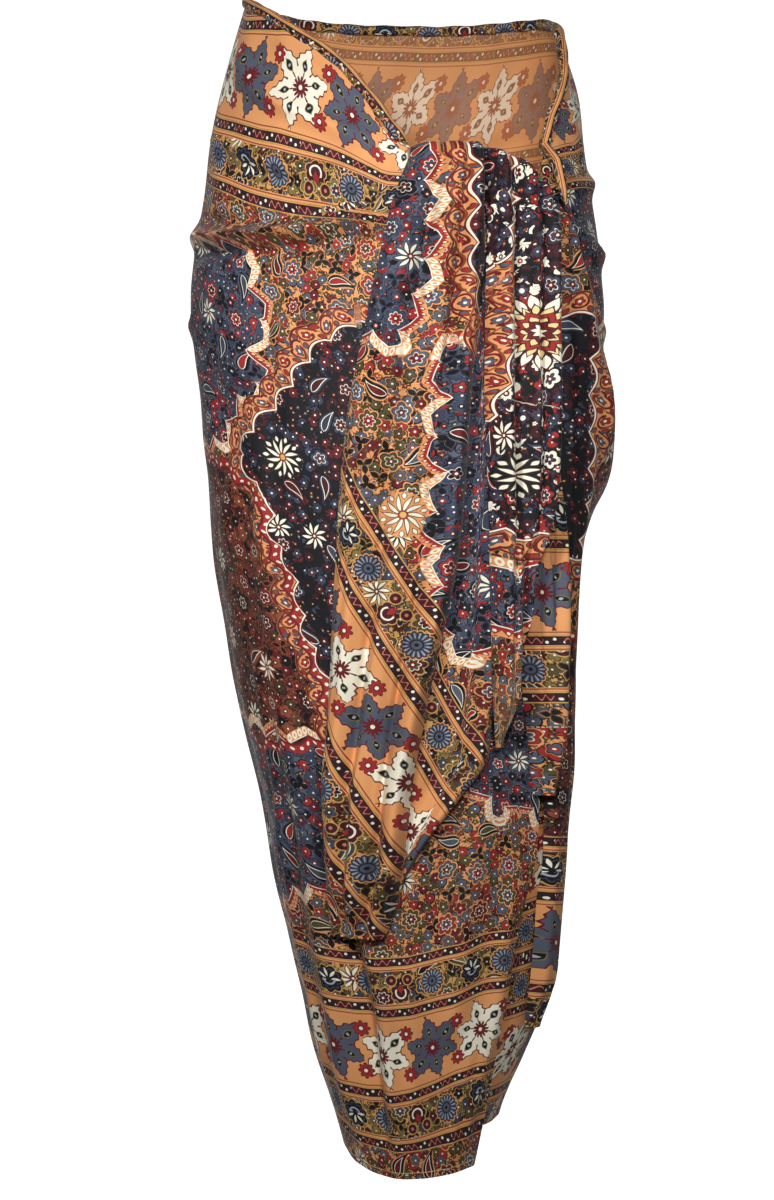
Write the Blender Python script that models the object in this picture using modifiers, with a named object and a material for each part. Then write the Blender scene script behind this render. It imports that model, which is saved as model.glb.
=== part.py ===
# A sarong worn on the hips: one printed cloth wound round as a tapering open tube, with both ends
# gathered at the front and folded over themselves, so that they fall as a pleated waterfall.
# Metres, +Z up, front towards -Y. The origin is the middle of the hips at the height of the knot.
import math
from collections import namedtuple

import bmesh
import bpy

# Driving sizes
WALL = 0.0012
SEAM_GAP = 0.0003
ROUNDNESS = 2.2
LAYER_STEP = SEAM_GAP + 1.15 * WALL
REACH_OF_EDGE = 0.006
REACH_ALONG = 0.012
WRAP_START = math.radians(-20)
WRAP_END = math.radians(360)
WRAP_NOMINAL_END = math.radians(400)
UNDERLAP_DEPTH = 0.0042
WRAP_COLUMNS = 66
WRAP_ROWS = 30
ROLL_RADIUS = 0.0052
ROLL_CLEARANCE = 0.0010
TAIL_NOTCH = 0.005
TUCKED_EDGE = 0.004
ROLL_START = math.radians(47)
ROLL_END = math.radians(361.5)
ROLL_POINTS = 46

# The wound tube, from the waist down: silhouette left and right of the middle, depth before and behind it
Section = namedtuple("Section", "height left right front back")
SECTIONS = [
    Section(0.150, -0.132, 0.138, 0.098, 0.106),
    Section(0.098, -0.147, 0.147, 0.102, 0.116),
    Section(0.053, -0.159, 0.160, 0.106, 0.125),
    Section(0.009, -0.168, 0.166, 0.110, 0.132),
    Section(-0.035, -0.174, 0.172, 0.114, 0.136),
    Section(-0.080, -0.181, 0.179, 0.117, 0.137),
    Section(-0.124, -0.185, 0.183, 0.119, 0.134),
    Section(-0.168, -0.183, 0.183, 0.120, 0.129),
    Section(-0.213, -0.177, 0.188, 0.119, 0.124),
    Section(-0.257, -0.173, 0.184, 0.118, 0.119),
    Section(-0.301, -0.167, 0.176, 0.116, 0.115),
    Section(-0.346, -0.161, 0.164, 0.114, 0.111),
    Section(-0.390, -0.154, 0.159, 0.112, 0.108),
    Section(-0.479, -0.140, 0.155, 0.107, 0.102),
    Section(-0.567, -0.119, 0.150, 0.101, 0.096),
    Section(-0.656, -0.103, 0.141, 0.096, 0.090),
    Section(-0.745, -0.082, 0.126, 0.090, 0.084),
    Section(-0.789, -0.072, 0.111, 0.087, 0.081),
    Section(-0.833, -0.060, 0.094, 0.084, 0.078),
    Section(-0.885, -0.045, 0.080, 0.081, 0.074),
]

# Upper edge of the cloth, by the angle round the body from the front, positive to the right
EdgePoint = namedtuple("EdgePoint", "degrees height")
WAIST_LINE = [
    EdgePoint(-180, 0.148),
    EdgePoint(-120, 0.147),
    EdgePoint(-90, 0.144),
    EdgePoint(-55, 0.121),
    EdgePoint(-33, 0.095),
    EdgePoint(-17, 0.068),
    EdgePoint(-5, 0.030),
    EdgePoint(2, -0.003),
    EdgePoint(7, -0.019),
    EdgePoint(21, -0.021),
    EdgePoint(30, -0.036),
    EdgePoint(35, -0.044),
    EdgePoint(38, -0.036),
    EdgePoint(42, -0.020),
    EdgePoint(45, 0.000),
    EdgePoint(53, 0.035),
    EdgePoint(72, 0.086),
    EdgePoint(90, 0.120),
    EdgePoint(120, 0.140),
    EdgePoint(180, 0.148),
]

# The right end of the rolled edge turns down beside the gathered tops, and out over the hip
TailPoint = namedtuple("TailPoint", "height offset")
ROLL_TAIL = [
    TailPoint(-0.054, 0.0104),
    TailPoint(-0.046, 0.0100),
    TailPoint(-0.037, 0.0094),
    TailPoint(-0.028, 0.0084),
    TailPoint(-0.019, 0.0066),
]

# Lower edge, by the angle along the winding; the under layer starts at the left of this list
HEM_LINE = [
    EdgePoint(-20, -0.846),
    EdgePoint(60, -0.842),
    EdgePoint(110, -0.840),
    EdgePoint(180, -0.846),
    EdgePoint(270, -0.866),
    EdgePoint(340, -0.882),
    EdgePoint(405, -0.874),
]

# How the rows of the wound wall are spread: closer together over the hips, where the folds are small
RowSpacing = namedtuple("RowSpacing", "share_of_rows share_of_height")
ROW_SPACING = [
    RowSpacing(0.00, 0.00),
    RowSpacing(0.25, 0.37),
    RowSpacing(0.45, 0.64),
    RowSpacing(0.60, 0.78),
    RowSpacing(1.00, 1.00),
]

# Free vertical edge of the outer layer at the front right
FreeEdgePoint = namedtuple("FreeEdgePoint", "height across")
FREE_EDGE = [
    FreeEdgePoint(0.150, 0.100),
    FreeEdgePoint(-0.300, 0.110),
    FreeEdgePoint(-0.500, 0.119),
    FreeEdgePoint(-0.610, 0.116),
    FreeEdgePoint(-0.656, 0.104),
    FreeEdgePoint(-0.700, 0.095),
    FreeEdgePoint(-0.745, 0.088),
    FreeEdgePoint(-0.790, 0.080),
    FreeEdgePoint(-0.833, 0.073),
    FreeEdgePoint(-0.864, 0.066),
    FreeEdgePoint(-0.885, 0.060),
]

# Raised folds of the wound cloth, each a soft ridge from one point to another, bowed by a sag
Fold = namedtuple("Fold", "name degrees_a height_a degrees_b height_b sag rise width")
WRAP_FOLDS = [
    Fold("hip roll", -88, -0.066, -1, -0.066, 0.010, 0.0080, 0.0110),
    Fold("hip roll, tail", -140, -0.035, -88, -0.066, 0.000, 0.0055, 0.0140),
    Fold("left pull, middle", -70, 0.012, -2, -0.040, 0.004, 0.0050, 0.0110),
    Fold("left pull, upper", -66, 0.080, -6, -0.008, 0.003, 0.0045, 0.0110),
    Fold("left pull, lower", -56, -0.200, -3, -0.100, 0.014, 0.0060, 0.0180),
    Fold("left panel, long", -46, -0.830, -40, -0.260, 0.000, 0.0055, 0.0180),
    Fold("left panel, low", -14, -0.850, -24, -0.520, 0.000, 0.0055, 0.0140),
    Fold("front, low", 8, -0.760, 20, -0.560, 0.000, 0.0060, 0.0130),
    Fold("front right, low", 28, -0.850, 34, -0.640, 0.000, 0.0045, 0.0110),
    Fold("right pull, upper", 53, -0.034, 86, -0.020, 0.004, 0.0050, 0.0100),
    Fold("right pull, middle", 48, -0.066, 90, -0.088, 0.003, 0.0060, 0.0110),
    Fold("right pull, lower", 46, -0.112, 84, -0.160, 0.000, 0.0055, 0.0130),
    Fold("right hip swag", 70, -0.200, 120, -0.300, 0.030, 0.0065, 0.0200),
    Fold("back pull, right", 100, 0.070, 158, 0.030, 0.008, 0.0050, 0.0140),
    Fold("back pull, left", -102, 0.060, -160, 0.010, 0.008, 0.0050, 0.0140),
    Fold("back swag", 150, -0.090, -150, -0.120, 0.020, 0.0050, 0.0180),
    Fold("back fall, right", 116, -0.830, 140, -0.160, 0.000, 0.0080, 0.0190),
    Fold("back fall, middle", 172, -0.840, 164, -0.240, 0.000, 0.0060, 0.0180),
    Fold("back fall, left", -150, -0.850, -140, -0.200, 0.000, 0.0080, 0.0200),
    Fold("left side fall", -106, -0.850, -98, -0.300, 0.000, 0.0060, 0.0190),
]

# Stretches that hang at the front, each by its edges at a few heights, its fullness and its pleats.
# A pleat runs from a place across the top to one across the foot, both 0 at the left and 1 at the right.
Edges = namedtuple("Edges", "height left right")
Pleat = namedtuple("Pleat", "across_top across_foot rise width")
Fall = namedtuple("Fall", "name columns rows lift edges pleats top_line rolls over")

FALLS = [
    Fall(
        "side_fold", 10, 22, 0.0045,
        [
            Edges(-0.062, 0.124, 0.137),
            Edges(-0.140, 0.127, 0.163),
            Edges(-0.226, 0.130, 0.178),
            Edges(-0.300, 0.132, 0.166),
            Edges(-0.357, 0.132, 0.153),
            Edges(-0.472, 0.124, 0.147),
            Edges(-0.620, 0.120, 0.138),
            Edges(-0.700, 0.115, 0.128),
            Edges(-0.760, 0.108, 0.117),
        ],
        [Pleat(0.45, 0.50, 0.0030, 0.010)],
        [(0.0, -0.062), (1.0, -0.062)], False, [],
    ),
    Fall(
        "fall_right", 10, 22, 0.0060,
        [
            Edges(-0.078, 0.098, 0.121),
            Edges(-0.140, 0.100, 0.125),
            Edges(-0.226, 0.100, 0.1275),
            Edges(-0.291, 0.101, 0.1315),
            Edges(-0.357, 0.098, 0.1330),
            Edges(-0.423, 0.099, 0.1323),
            Edges(-0.472, 0.102, 0.1290),
            Edges(-0.521, 0.108, 0.1240),
            Edges(-0.556, 0.112, 0.1205),
        ],
        [Pleat(0.62, 0.70, 0.0040, 0.007)],
        [(0.0, -0.078), (1.0, -0.078)], False, ["side_fold", "knot"],
    ),
    Fall(
        "fall_middle", 12, 24, 0.0050,
        [
            Edges(-0.078, 0.030, 0.082),
            Edges(-0.226, 0.030, 0.084),
            Edges(-0.357, 0.018, 0.083),
            Edges(-0.464, 0.000, 0.080),
            Edges(-0.505, -0.005, 0.0745),
            Edges(-0.526, -0.008, 0.0715),
            Edges(-0.554, -0.012, 0.051),
            Edges(-0.594, -0.014, 0.021),
            Edges(-0.628, -0.016, 0.002),
        ],
        [Pleat(0.78, 0.85, 0.0035, 0.009), Pleat(0.55, 0.62, 0.0030, 0.009)],
        [(0.0, -0.078), (1.0, -0.078)], False, ["fall_right", "knot"],
    ),
    Fall(
        "knot", 12, 8, 0.0080,
        [
            Edges(-0.024, 0.020, 0.110),
            Edges(-0.040, 0.016, 0.112),
            Edges(-0.062, 0.015, 0.113),
            Edges(-0.084, 0.018, 0.110),
        ],
        [Pleat(0.30, 0.30, 0.0020, 0.010), Pleat(0.66, 0.60, 0.0020, 0.010)],
        [(0.0, -0.026), (0.4, -0.026), (0.7, -0.036), (0.85, -0.047), (1.0, -0.062)], False, [],
    ),
    Fall(
        "fall_left", 16, 34, 0.0080,
        [
            Edges(-0.008, 0.012, 0.0635),
            Edges(-0.020, 0.007, 0.0635),
            Edges(-0.053, -0.005, 0.0635),
            Edges(-0.086, -0.013, 0.0635),
            Edges(-0.123, -0.021, 0.0635),
            Edges(-0.168, -0.031, 0.062),
            Edges(-0.226, -0.043, 0.057),
            Edges(-0.291, -0.050, 0.053),
            Edges(-0.357, -0.054, 0.046),
            Edges(-0.415, -0.057, 0.0345),
            Edges(-0.464, -0.059, 0.024),
            Edges(-0.509, -0.060, 0.016),
            Edges(-0.546, -0.060, 0.010),
            Edges(-0.587, -0.057, 0.006),
            Edges(-0.632, -0.057, 0.000),
            Edges(-0.674, -0.053, -0.011),
        ],
        [
            Pleat(0.30, 0.16, 0.0035, 0.010),
            Pleat(0.62, 0.48, 0.0040, 0.010),
            Pleat(0.90, 0.84, 0.0045, 0.009),
        ],
        [(0.0, -0.014), (0.2, -0.011), (0.8, -0.010), (1.0, -0.011)], True, ["fall_middle", "knot"],
    ),
    Fall(
        "fall_centre", 14, 30, 0.0080,
        [
            Edges(-0.010, 0.0655, 0.1180),
            Edges(-0.050, 0.0650, 0.1190),
            Edges(-0.086, 0.0650, 0.1205),
            Edges(-0.168, 0.0645, 0.1210),
            Edges(-0.226, 0.0650, 0.1215),
            Edges(-0.291, 0.0660, 0.1200),
            Edges(-0.330, 0.0665, 0.1130),
            Edges(-0.365, 0.0665, 0.1025),
            Edges(-0.406, 0.0670, 0.0990),
            Edges(-0.431, 0.0675, 0.0945),
            Edges(-0.456, 0.0680, 0.0890),
            Edges(-0.472, 0.0690, 0.0850),
            Edges(-0.513, 0.0725, 0.0785),
        ],
        [
            Pleat(0.18, 0.25, 0.0040, 0.008),
            Pleat(0.52, 0.60, 0.0045, 0.009),
            Pleat(0.86, 0.90, 0.0040, 0.007),
        ],
        [(0.0, -0.012), (0.35, -0.019), (0.6, -0.0285), (0.8, -0.038), (1.0, -0.049)], True,
        ["fall_right", "fall_middle", "knot"],
    ),
]
ROLL_OVER_ROWS = 5
ROLL_OVER_BACK = 0.0022
ROLL_OVER_RISE = 0.009

# Colour of each stretch: its main ground, roughness
Cloth = namedtuple("Cloth", "colour roughness")
CLOTHS = {
    "skirt_wrap": Cloth((0.55, 0.27, 0.12), 0.75),
    "waist_roll": Cloth((0.50, 0.16, 0.10), 0.75),
    "knot": Cloth((0.72, 0.50, 0.25), 0.75),
    "side_fold": Cloth((0.16, 0.10, 0.12), 0.75),
    "fall_right": Cloth((0.72, 0.36, 0.13), 0.75),
    "fall_middle": Cloth((0.20, 0.23, 0.30), 0.75),
    "fall_left": Cloth((0.75, 0.38, 0.14), 0.75),
    "fall_centre": Cloth((0.06, 0.05, 0.09), 0.75),
}


def clamp(value, low=0.0, high=1.0):
    return max(low, min(high, value))


def ease(value):
    """0 below 0, 1 above 1, and a smooth rise between."""
    value = clamp(value)
    return value * value * (3 - 2 * value)


def read_curve(keys, values, key):
    """A smooth curve through the points, its keys rising or falling."""
    if keys[0] > keys[-1]:
        keys, values = keys[::-1], values[::-1]
    key = clamp(key, keys[0], keys[-1])
    last = len(keys) - 1
    spot = next(i for i in range(last) if key <= keys[i + 1])

    def slope(i):
        before, after = max(i - 1, 0), min(i + 1, last)
        return (values[after] - values[before]) / (keys[after] - keys[before])

    span = keys[spot + 1] - keys[spot]
    t = (key - keys[spot]) / span
    start = values[spot] * (1 + 2 * t) * (1 - t) ** 2 + values[spot + 1] * t * t * (3 - 2 * t)
    return start + span * (slope(spot) * t * (1 - t) ** 2 - slope(spot + 1) * t * t * (1 - t))


def read_table(rows, key, column):
    """A named column of a table, read between its rows by the first column."""
    return read_curve([row[0] for row in rows], [getattr(row, column) for row in rows], key)


def signed_power(value, power):
    return math.copysign(abs(value) ** power, value)


def body_point(angle, height, offset):
    """The point at an angle round the body, a distance outside the section at that height."""
    left = read_table(SECTIONS, height, "left")
    right = read_table(SECTIONS, height, "right")
    depth = read_table(SECTIONS, height, "front" if math.cos(angle) > 0 else "back")
    x = (left + right) / 2 + ((right - left) / 2 + offset) * signed_power(math.sin(angle), 2 / ROUNDNESS)
    y = -(depth + offset) * signed_power(math.cos(angle), 2 / ROUNDNESS)
    return x, y, height


def angle_at(across, height):
    """The angle of the front point that lies this far to the right of the middle plane."""
    left = read_table(SECTIONS, height, "left")
    right = read_table(SECTIONS, height, "right")
    share = clamp((across - (left + right) / 2) / ((right - left) / 2), -1, 1)
    return math.asin(signed_power(share, ROUNDNESS / 2))


def girth_step(height):
    """Rough length of one radian round the body at a height."""
    return read_table(SECTIONS, height, "right") * 0.5 + 0.055


def turn_between(angle, target):
    """The signed turn from the target to the angle, under half a turn."""
    return (angle - target + math.pi) % (2 * math.pi) - math.pi


def fold_rise(fold, angle, height):
    """How far one ridge lifts the cloth at a point."""
    along_a, along_b = math.radians(fold.degrees_a), math.radians(fold.degrees_b)
    step = girth_step(height)
    run = (turn_between(along_b, along_a) * step, fold.height_b - fold.height_a)
    here = (turn_between(angle, along_a) * step, height - fold.height_a)
    length = math.hypot(*run)
    share = (here[0] * run[0] + here[1] * run[1]) / length ** 2
    bow = fold.sag * 4 * share * (1 - share)
    aside = (here[1] * run[0] - here[0] * run[1]) / length + bow * math.copysign(1, run[0])
    fade = ease((share + 0.12) / 0.24) * ease((1.12 - share) / 0.24)
    return fold.rise * fade * math.exp(-(aside / fold.width) ** 2)


def wrap_offset(along):
    """The under layer of the winding lies inside the outer one and comes out on its way round."""
    return -UNDERLAP_DEPTH * (1 - ease((math.degrees(along) - 45) / 130))


def wrap_relief(angle, height):
    return sum(fold_rise(fold, angle, height) for fold in WRAP_FOLDS)


def wrap_along(across, height):
    """The angle along the winding; its last stretch is drawn out or in to meet the free edge."""
    turn_end = WRAP_END + angle_at(read_table(FREE_EDGE, height, "across"), height)
    evenly = WRAP_START + across * (WRAP_NOMINAL_END - WRAP_START)
    return evenly + (turn_end - WRAP_NOMINAL_END) * ease((across - 0.75) / 0.25)


def wrap_outer(x, height):
    """How far out the wound cloth lies at a front point: the under layer shows right of the free edge."""
    angle = angle_at(x, height)
    beyond_edge = x > read_table(FREE_EDGE, height, "across")
    return (wrap_offset(angle) if beyond_edge else 0.0) + wrap_relief(angle, height)


def waist_height(angle):
    degrees = math.degrees(turn_between(angle, 0.0))
    return read_table(WAIST_LINE, degrees, "height")


def waist_slope(angle):
    """Steepness of the upper edge, as the length of slope over a level length of 1."""
    little = 0.02
    before = body_point(angle - little, waist_height(angle - little), 0.0)
    after = body_point(angle + little, waist_height(angle + little), 0.0)
    level = math.hypot(after[0] - before[0], after[1] - before[1])
    return math.hypot(1.0, (after[2] - before[2]) / level)


def wrap_top(angle):
    """The wall stops below the rolled edge where there is one."""
    under_roll = (2 * ROLL_RADIUS + ROLL_CLEARANCE) * waist_slope(angle)
    degrees = math.degrees(turn_between(angle, 0.0))
    rolled = 1.0 - ease((degrees - 2) / 5) * ease((43 - degrees) / 6)
    turned_down = TAIL_NOTCH * ease((degrees - 40) / 5) * ease((58 - degrees) / 8)
    return waist_height(angle) - max(under_roll * rolled, TUCKED_EDGE) - turned_down


def wrap_surface(across, up):
    """The outside of the wound cloth, from the hidden start to the free edge and from hem to waist."""
    along = WRAP_START + across * (WRAP_NOMINAL_END - WRAP_START)
    hem = read_table(HEM_LINE, math.degrees(along), "height")
    top = wrap_top(along)
    height = hem + (top - hem) * read_table(ROW_SPACING, up, "share_of_height")
    along = wrap_along(across, height)
    shown = ease((math.degrees(along) - 38) / 22)
    return body_point(along, height, wrap_offset(along) + shown * wrap_relief(along, height))


def fall_named(name):
    return next(fall for fall in FALLS if fall.name == name)


def fall_place(fall, x, height):
    """How far across a stretch a point lies, 0 at its left edge and 1 at its right."""
    left = read_table(fall.edges, height, "left")
    right = read_table(fall.edges, height, "right")
    return (x - left) / (right - left), right - left


def fall_body(fall, across, height):
    """The stretch's own height over what it lies on, rounded down to it at both edges."""
    foot, top = fall.edges[-1].height, fall.edges[0].height
    down = clamp((top - height) / (top - foot))
    width = fall_place(fall, 0.0, height)[1]
    rounded = 1 - abs(2 * clamp(across) - 1) ** 5
    rise = fall.lift
    for pleat in fall.pleats:
        middle = pleat.across_top + (pleat.across_foot - pleat.across_top) * down
        aside = (across - middle) * width / pleat.width
        rise += pleat.rise * math.exp(-aside ** 2)
    ends = ease((height - foot) / 0.05)
    if not fall.rolls:
        ends *= ease((top - height) / 0.03)
    return rise * rounded * (0.35 + 0.65 * ends)


def fall_cover(fall, x, height):
    """The outer height of a stretch at a point, or nothing beside it."""
    foot, top = fall.edges[-1].height, fall.edges[0].height
    across, width = fall_place(fall, x, clamp(height, foot, top))
    beyond = max(-across * width, (across - 1) * width, height - top, foot - height, 0.0)
    if beyond > REACH_OF_EDGE:
        return 0.0
    inside = clamp(height, foot, top)
    base = fall_base(fall, x, inside)
    fade = 1 - ease(beyond / REACH_OF_EDGE)
    return (base + LAYER_STEP + fall_body(fall, across, inside)) * fade


def fall_base(fall, x, height):
    """The highest of what a stretch lies on, near a point."""
    spots = [(x + i * REACH_OF_EDGE, height + j * REACH_ALONG) for i in (-1, 0, 1) for j in (-1, 0, 1)]
    carried = max(wrap_outer(sx, sz) for sx, sz in spots)
    for name in fall.over:
        below = fall_named(name)
        carried = max([carried] + [fall_cover(below, sx, sz) for sx, sz in spots])
    return carried


def fall_surface(fall, across, up):
    """The outside of a hanging stretch; the upper rows of one that rolls go over the top and behind."""
    names = [point[0] for point in fall.top_line]
    top = read_curve(names, [point[1] for point in fall.top_line], across)
    foot = fall.edges[-1].height
    rolled_share = ROLL_OVER_ROWS / fall.rows if fall.rolls else 0.0
    if up <= 1 - rolled_share + 1e-6:
        share = up / (1 - rolled_share)
        height = foot + (top - ROLL_OVER_RISE * fall.rolls - foot) * share
        turn = 0.0
    else:
        height = top - ROLL_OVER_RISE
        turn = (up - 1 + rolled_share) / rolled_share * math.pi
    left = read_table(fall.edges, height, "left")
    right = read_table(fall.edges, height, "right")
    x = left + (right - left) * across
    offset = fall_base(fall, x, height) + LAYER_STEP + fall_body(fall, across, height)
    if turn:
        middle = (offset + ROLL_OVER_BACK + LAYER_STEP) / 2
        offset = middle + (offset - middle) * math.cos(turn)
        height += ROLL_OVER_RISE * math.sin(turn)
    return body_point(angle_at(x, height), height, offset)


def cloth_material(name):
    cloth = CLOTHS[name]
    material = bpy.data.materials.new(name + "_cloth")
    material.use_nodes = True
    shader = material.node_tree.nodes["Principled BSDF"]
    shader.inputs["Base Color"].default_value = (*cloth.colour, 1.0)
    shader.inputs["Roughness"].default_value = cloth.roughness
    shader.inputs["Metallic"].default_value = 0.0
    return material


def add_sheet(name, columns, rows, surface, collection):
    """A grid laid on a surface given by its places across and up, thickened inwards to the wall."""
    mesh = bpy.data.meshes.new(name)
    work = bmesh.new()
    bmesh.ops.create_grid(work, x_segments=columns, y_segments=rows, size=1.0)
    for vertex in work.verts:
        vertex.co = surface((vertex.co.x + 1) / 2, (vertex.co.y + 1) / 2)
    work.to_mesh(mesh)
    work.free()
    mesh.shade_smooth()
    mesh.materials.append(cloth_material(name))
    sheet = bpy.data.objects.new(name, mesh)
    wall = sheet.modifiers.new("Wall", "SOLIDIFY")
    wall.thickness = WALL
    wall.offset = -1
    collection.objects.link(sheet)
    return sheet


def add_waist_roll(collection):
    """The turned upper edge, a soft tube from the right of the knot round the back to its left."""
    curve = bpy.data.curves.new("waist_roll", "CURVE")
    curve.dimensions = "3D"
    curve.bevel_depth = ROLL_RADIUS
    curve.bevel_resolution = 2
    curve.use_fill_caps = True
    route = [body_point(ROLL_START, end.height, end.offset) for end in ROLL_TAIL]
    for i in range(ROLL_POINTS):
        angle = ROLL_START + (ROLL_END - ROLL_START) * i / (ROLL_POINTS - 1)
        height = waist_height(angle) - ROLL_RADIUS * waist_slope(angle)
        route.append(body_point(angle, height, wrap_offset(angle) - WALL / 2))
    spline = curve.splines.new("POLY")
    spline.points.add(len(route) - 1)
    for point, place in zip(spline.points, route):
        point.co = (*place, 1.0)
    curve.materials.append(cloth_material("waist_roll"))
    collection.objects.link(bpy.data.objects.new("waist_roll", curve))


def build():
    for leftover in list(bpy.data.objects):
        bpy.data.objects.remove(leftover)
    collection = bpy.data.collections.new("Sarong")
    bpy.context.scene.collection.children.link(collection)
    add_sheet("skirt_wrap", WRAP_COLUMNS, WRAP_ROWS, wrap_surface, collection)
    add_waist_roll(collection)
    for fall in FALLS:
        add_sheet(
            fall.name, fall.columns, fall.rows,
            lambda across, up, fall=fall: fall_surface(fall, across, up), collection,
        )


build()
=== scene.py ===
import math
import bpy
import numpy as np
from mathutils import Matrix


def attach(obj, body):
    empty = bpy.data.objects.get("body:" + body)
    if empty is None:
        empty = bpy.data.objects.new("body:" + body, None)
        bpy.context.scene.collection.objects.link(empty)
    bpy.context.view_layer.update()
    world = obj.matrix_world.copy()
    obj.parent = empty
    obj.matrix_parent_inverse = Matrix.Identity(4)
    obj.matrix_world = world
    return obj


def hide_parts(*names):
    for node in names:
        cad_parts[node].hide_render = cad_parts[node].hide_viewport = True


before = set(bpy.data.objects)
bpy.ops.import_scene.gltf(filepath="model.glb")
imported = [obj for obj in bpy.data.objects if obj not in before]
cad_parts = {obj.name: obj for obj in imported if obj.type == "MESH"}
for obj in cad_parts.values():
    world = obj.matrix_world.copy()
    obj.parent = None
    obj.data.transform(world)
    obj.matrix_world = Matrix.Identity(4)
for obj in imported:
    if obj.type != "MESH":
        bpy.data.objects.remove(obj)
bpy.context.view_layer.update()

bpy.ops.object.select_all(action="DESELECT")

# camera at the photo's angle: level, at half the cloth's height, in front of it
view = {"distance": 1.9, "side": -0.0115, "height": -0.39, "lens": 64.3}
bpy.ops.object.camera_add(location=(view["side"], -view["distance"], view["height"]),
                          rotation=(math.pi / 2, 0, 0))
camera = bpy.context.object
camera.name = "photoCamera"
camera.data.lens = view["lens"]
camera.data.sensor_width = 36
bpy.context.scene.camera = camera
print("camera placed")


# the wound tube by height: silhouette left and right, depth before and behind the middle
body = {
    "height": [0.15, 0.098, 0.053, 0.009, -0.035, -0.08, -0.124, -0.168, -0.213, -0.257, -0.301, -0.346,
               -0.39, -0.479, -0.567, -0.656, -0.745, -0.789, -0.833, -0.885],
    "left": [-0.132, -0.147, -0.159, -0.168, -0.174, -0.181, -0.185, -0.183, -0.177, -0.173, -0.167,
             -0.161, -0.154, -0.14, -0.119, -0.103, -0.082, -0.072, -0.06, -0.045],
    "right": [0.138, 0.147, 0.16, 0.166, 0.172, 0.179, 0.183, 0.183, 0.188, 0.184, 0.176, 0.164, 0.159,
              0.155, 0.15, 0.141, 0.126, 0.111, 0.094, 0.08],
    "front": [0.098, 0.102, 0.106, 0.11, 0.114, 0.117, 0.119, 0.12, 0.119, 0.118, 0.116, 0.114, 0.112,
              0.107, 0.101, 0.096, 0.09, 0.087, 0.084, 0.081],
    "back": [0.106, 0.116, 0.125, 0.132, 0.136, 0.137, 0.134, 0.129, 0.124, 0.119, 0.115, 0.111, 0.108,
             0.102, 0.096, 0.09, 0.084, 0.081, 0.078, 0.074],
    "roundness": 2.2,
}


def ease(x):
    x = np.clip(x, 0.0, 1.0)
    return x * x * (3 - 2 * x)


def readCurve(keys, values, at):
    # a smooth curve through the points, for whole arrays at once
    keys = np.asarray(keys, float)
    values = np.asarray(values, float)
    if keys[0] > keys[-1]:
        keys, values = keys[::-1], values[::-1]
    at = np.clip(at, keys[0], keys[-1])
    spot = np.clip(np.searchsorted(keys, at, side="left") - 1, 0, len(keys) - 2)
    first = np.maximum(np.arange(len(keys)) - 1, 0)
    after = np.minimum(np.arange(len(keys)) + 1, len(keys) - 1)
    slope = (values[after] - values[first]) / (keys[after] - keys[first])
    span = keys[spot + 1] - keys[spot]
    t = (at - keys[spot]) / span
    base = values[spot] * (1 + 2 * t) * (1 - t) ** 2 + values[spot + 1] * t * t * (3 - 2 * t)
    return base + span * (slope[spot] * t * (1 - t) ** 2 - slope[spot + 1] * t * t * (1 - t))


def bodySize(name, height):
    return readCurve(body["height"], body[name], height)


def signedPower(x, power):
    return np.sign(x) * np.abs(x) ** power


def bodyPoint(angle, height, offset):
    # angle 0 is the front, positive to the right; offset is the distance outside the section
    left, right = bodySize("left", height), bodySize("right", height)
    depth = np.where(np.cos(angle) > 0, bodySize("front", height), bodySize("back", height))
    power = 2 / body["roundness"]
    x = (left + right) / 2 + ((right - left) / 2 + offset) * signedPower(np.sin(angle), power)
    y = -(depth + offset) * signedPower(np.cos(angle), power)
    return x, y, height + 0 * x


def angleAt(x, height):
    left, right = bodySize("left", height), bodySize("right", height)
    share = np.clip((x - (left + right) / 2) / ((right - left) / 2), -1, 1)
    return np.arcsin(signedPower(share, body["roundness"] / 2))


def turnBetween(angle, target):
    return (angle - target + np.pi) % (2 * np.pi) - np.pi


# the wound cloth: its edges and the underlap, angles in degrees
wrap = {
    "start": -20, "nominalEnd": 400, "underlap": 0.0042, "wall": 0.0011, "depth": 1.35, "columns": 236,
    "rows": 200, "flat": (1.16, 1.0), "area": 0.96, "held": "hung",
    "waist": [(-180, 0.148), (-120, 0.147), (-90, 0.144), (-55, 0.121), (-33, 0.095), (-17, 0.068),
              (-5, 0.03), (2, -0.003), (7, -0.019), (21, -0.021), (30, -0.036), (35, -0.044), (38, -0.036),
              (42, -0.02), (45, 0.0), (53, 0.035), (72, 0.086), (90, 0.12), (120, 0.14), (180, 0.148)],
    "hem": [(-20, -0.846), (60, -0.842), (110, -0.84), (180, -0.846), (270, -0.866), (340, -0.882),
            (405, -0.874)],
    "freeEdge": [(0.15, 0.1), (-0.3, 0.11), (-0.5, 0.119), (-0.61, 0.116), (-0.656, 0.104), (-0.7, 0.095),
                 (-0.745, 0.088), (-0.79, 0.08), (-0.833, 0.073), (-0.864, 0.066), (-0.885, 0.06)],
    "rowSpacing": [(0.0, 0.0), (0.4, 0.52), (0.6, 0.74), (1.0, 1.0)],
}

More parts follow.
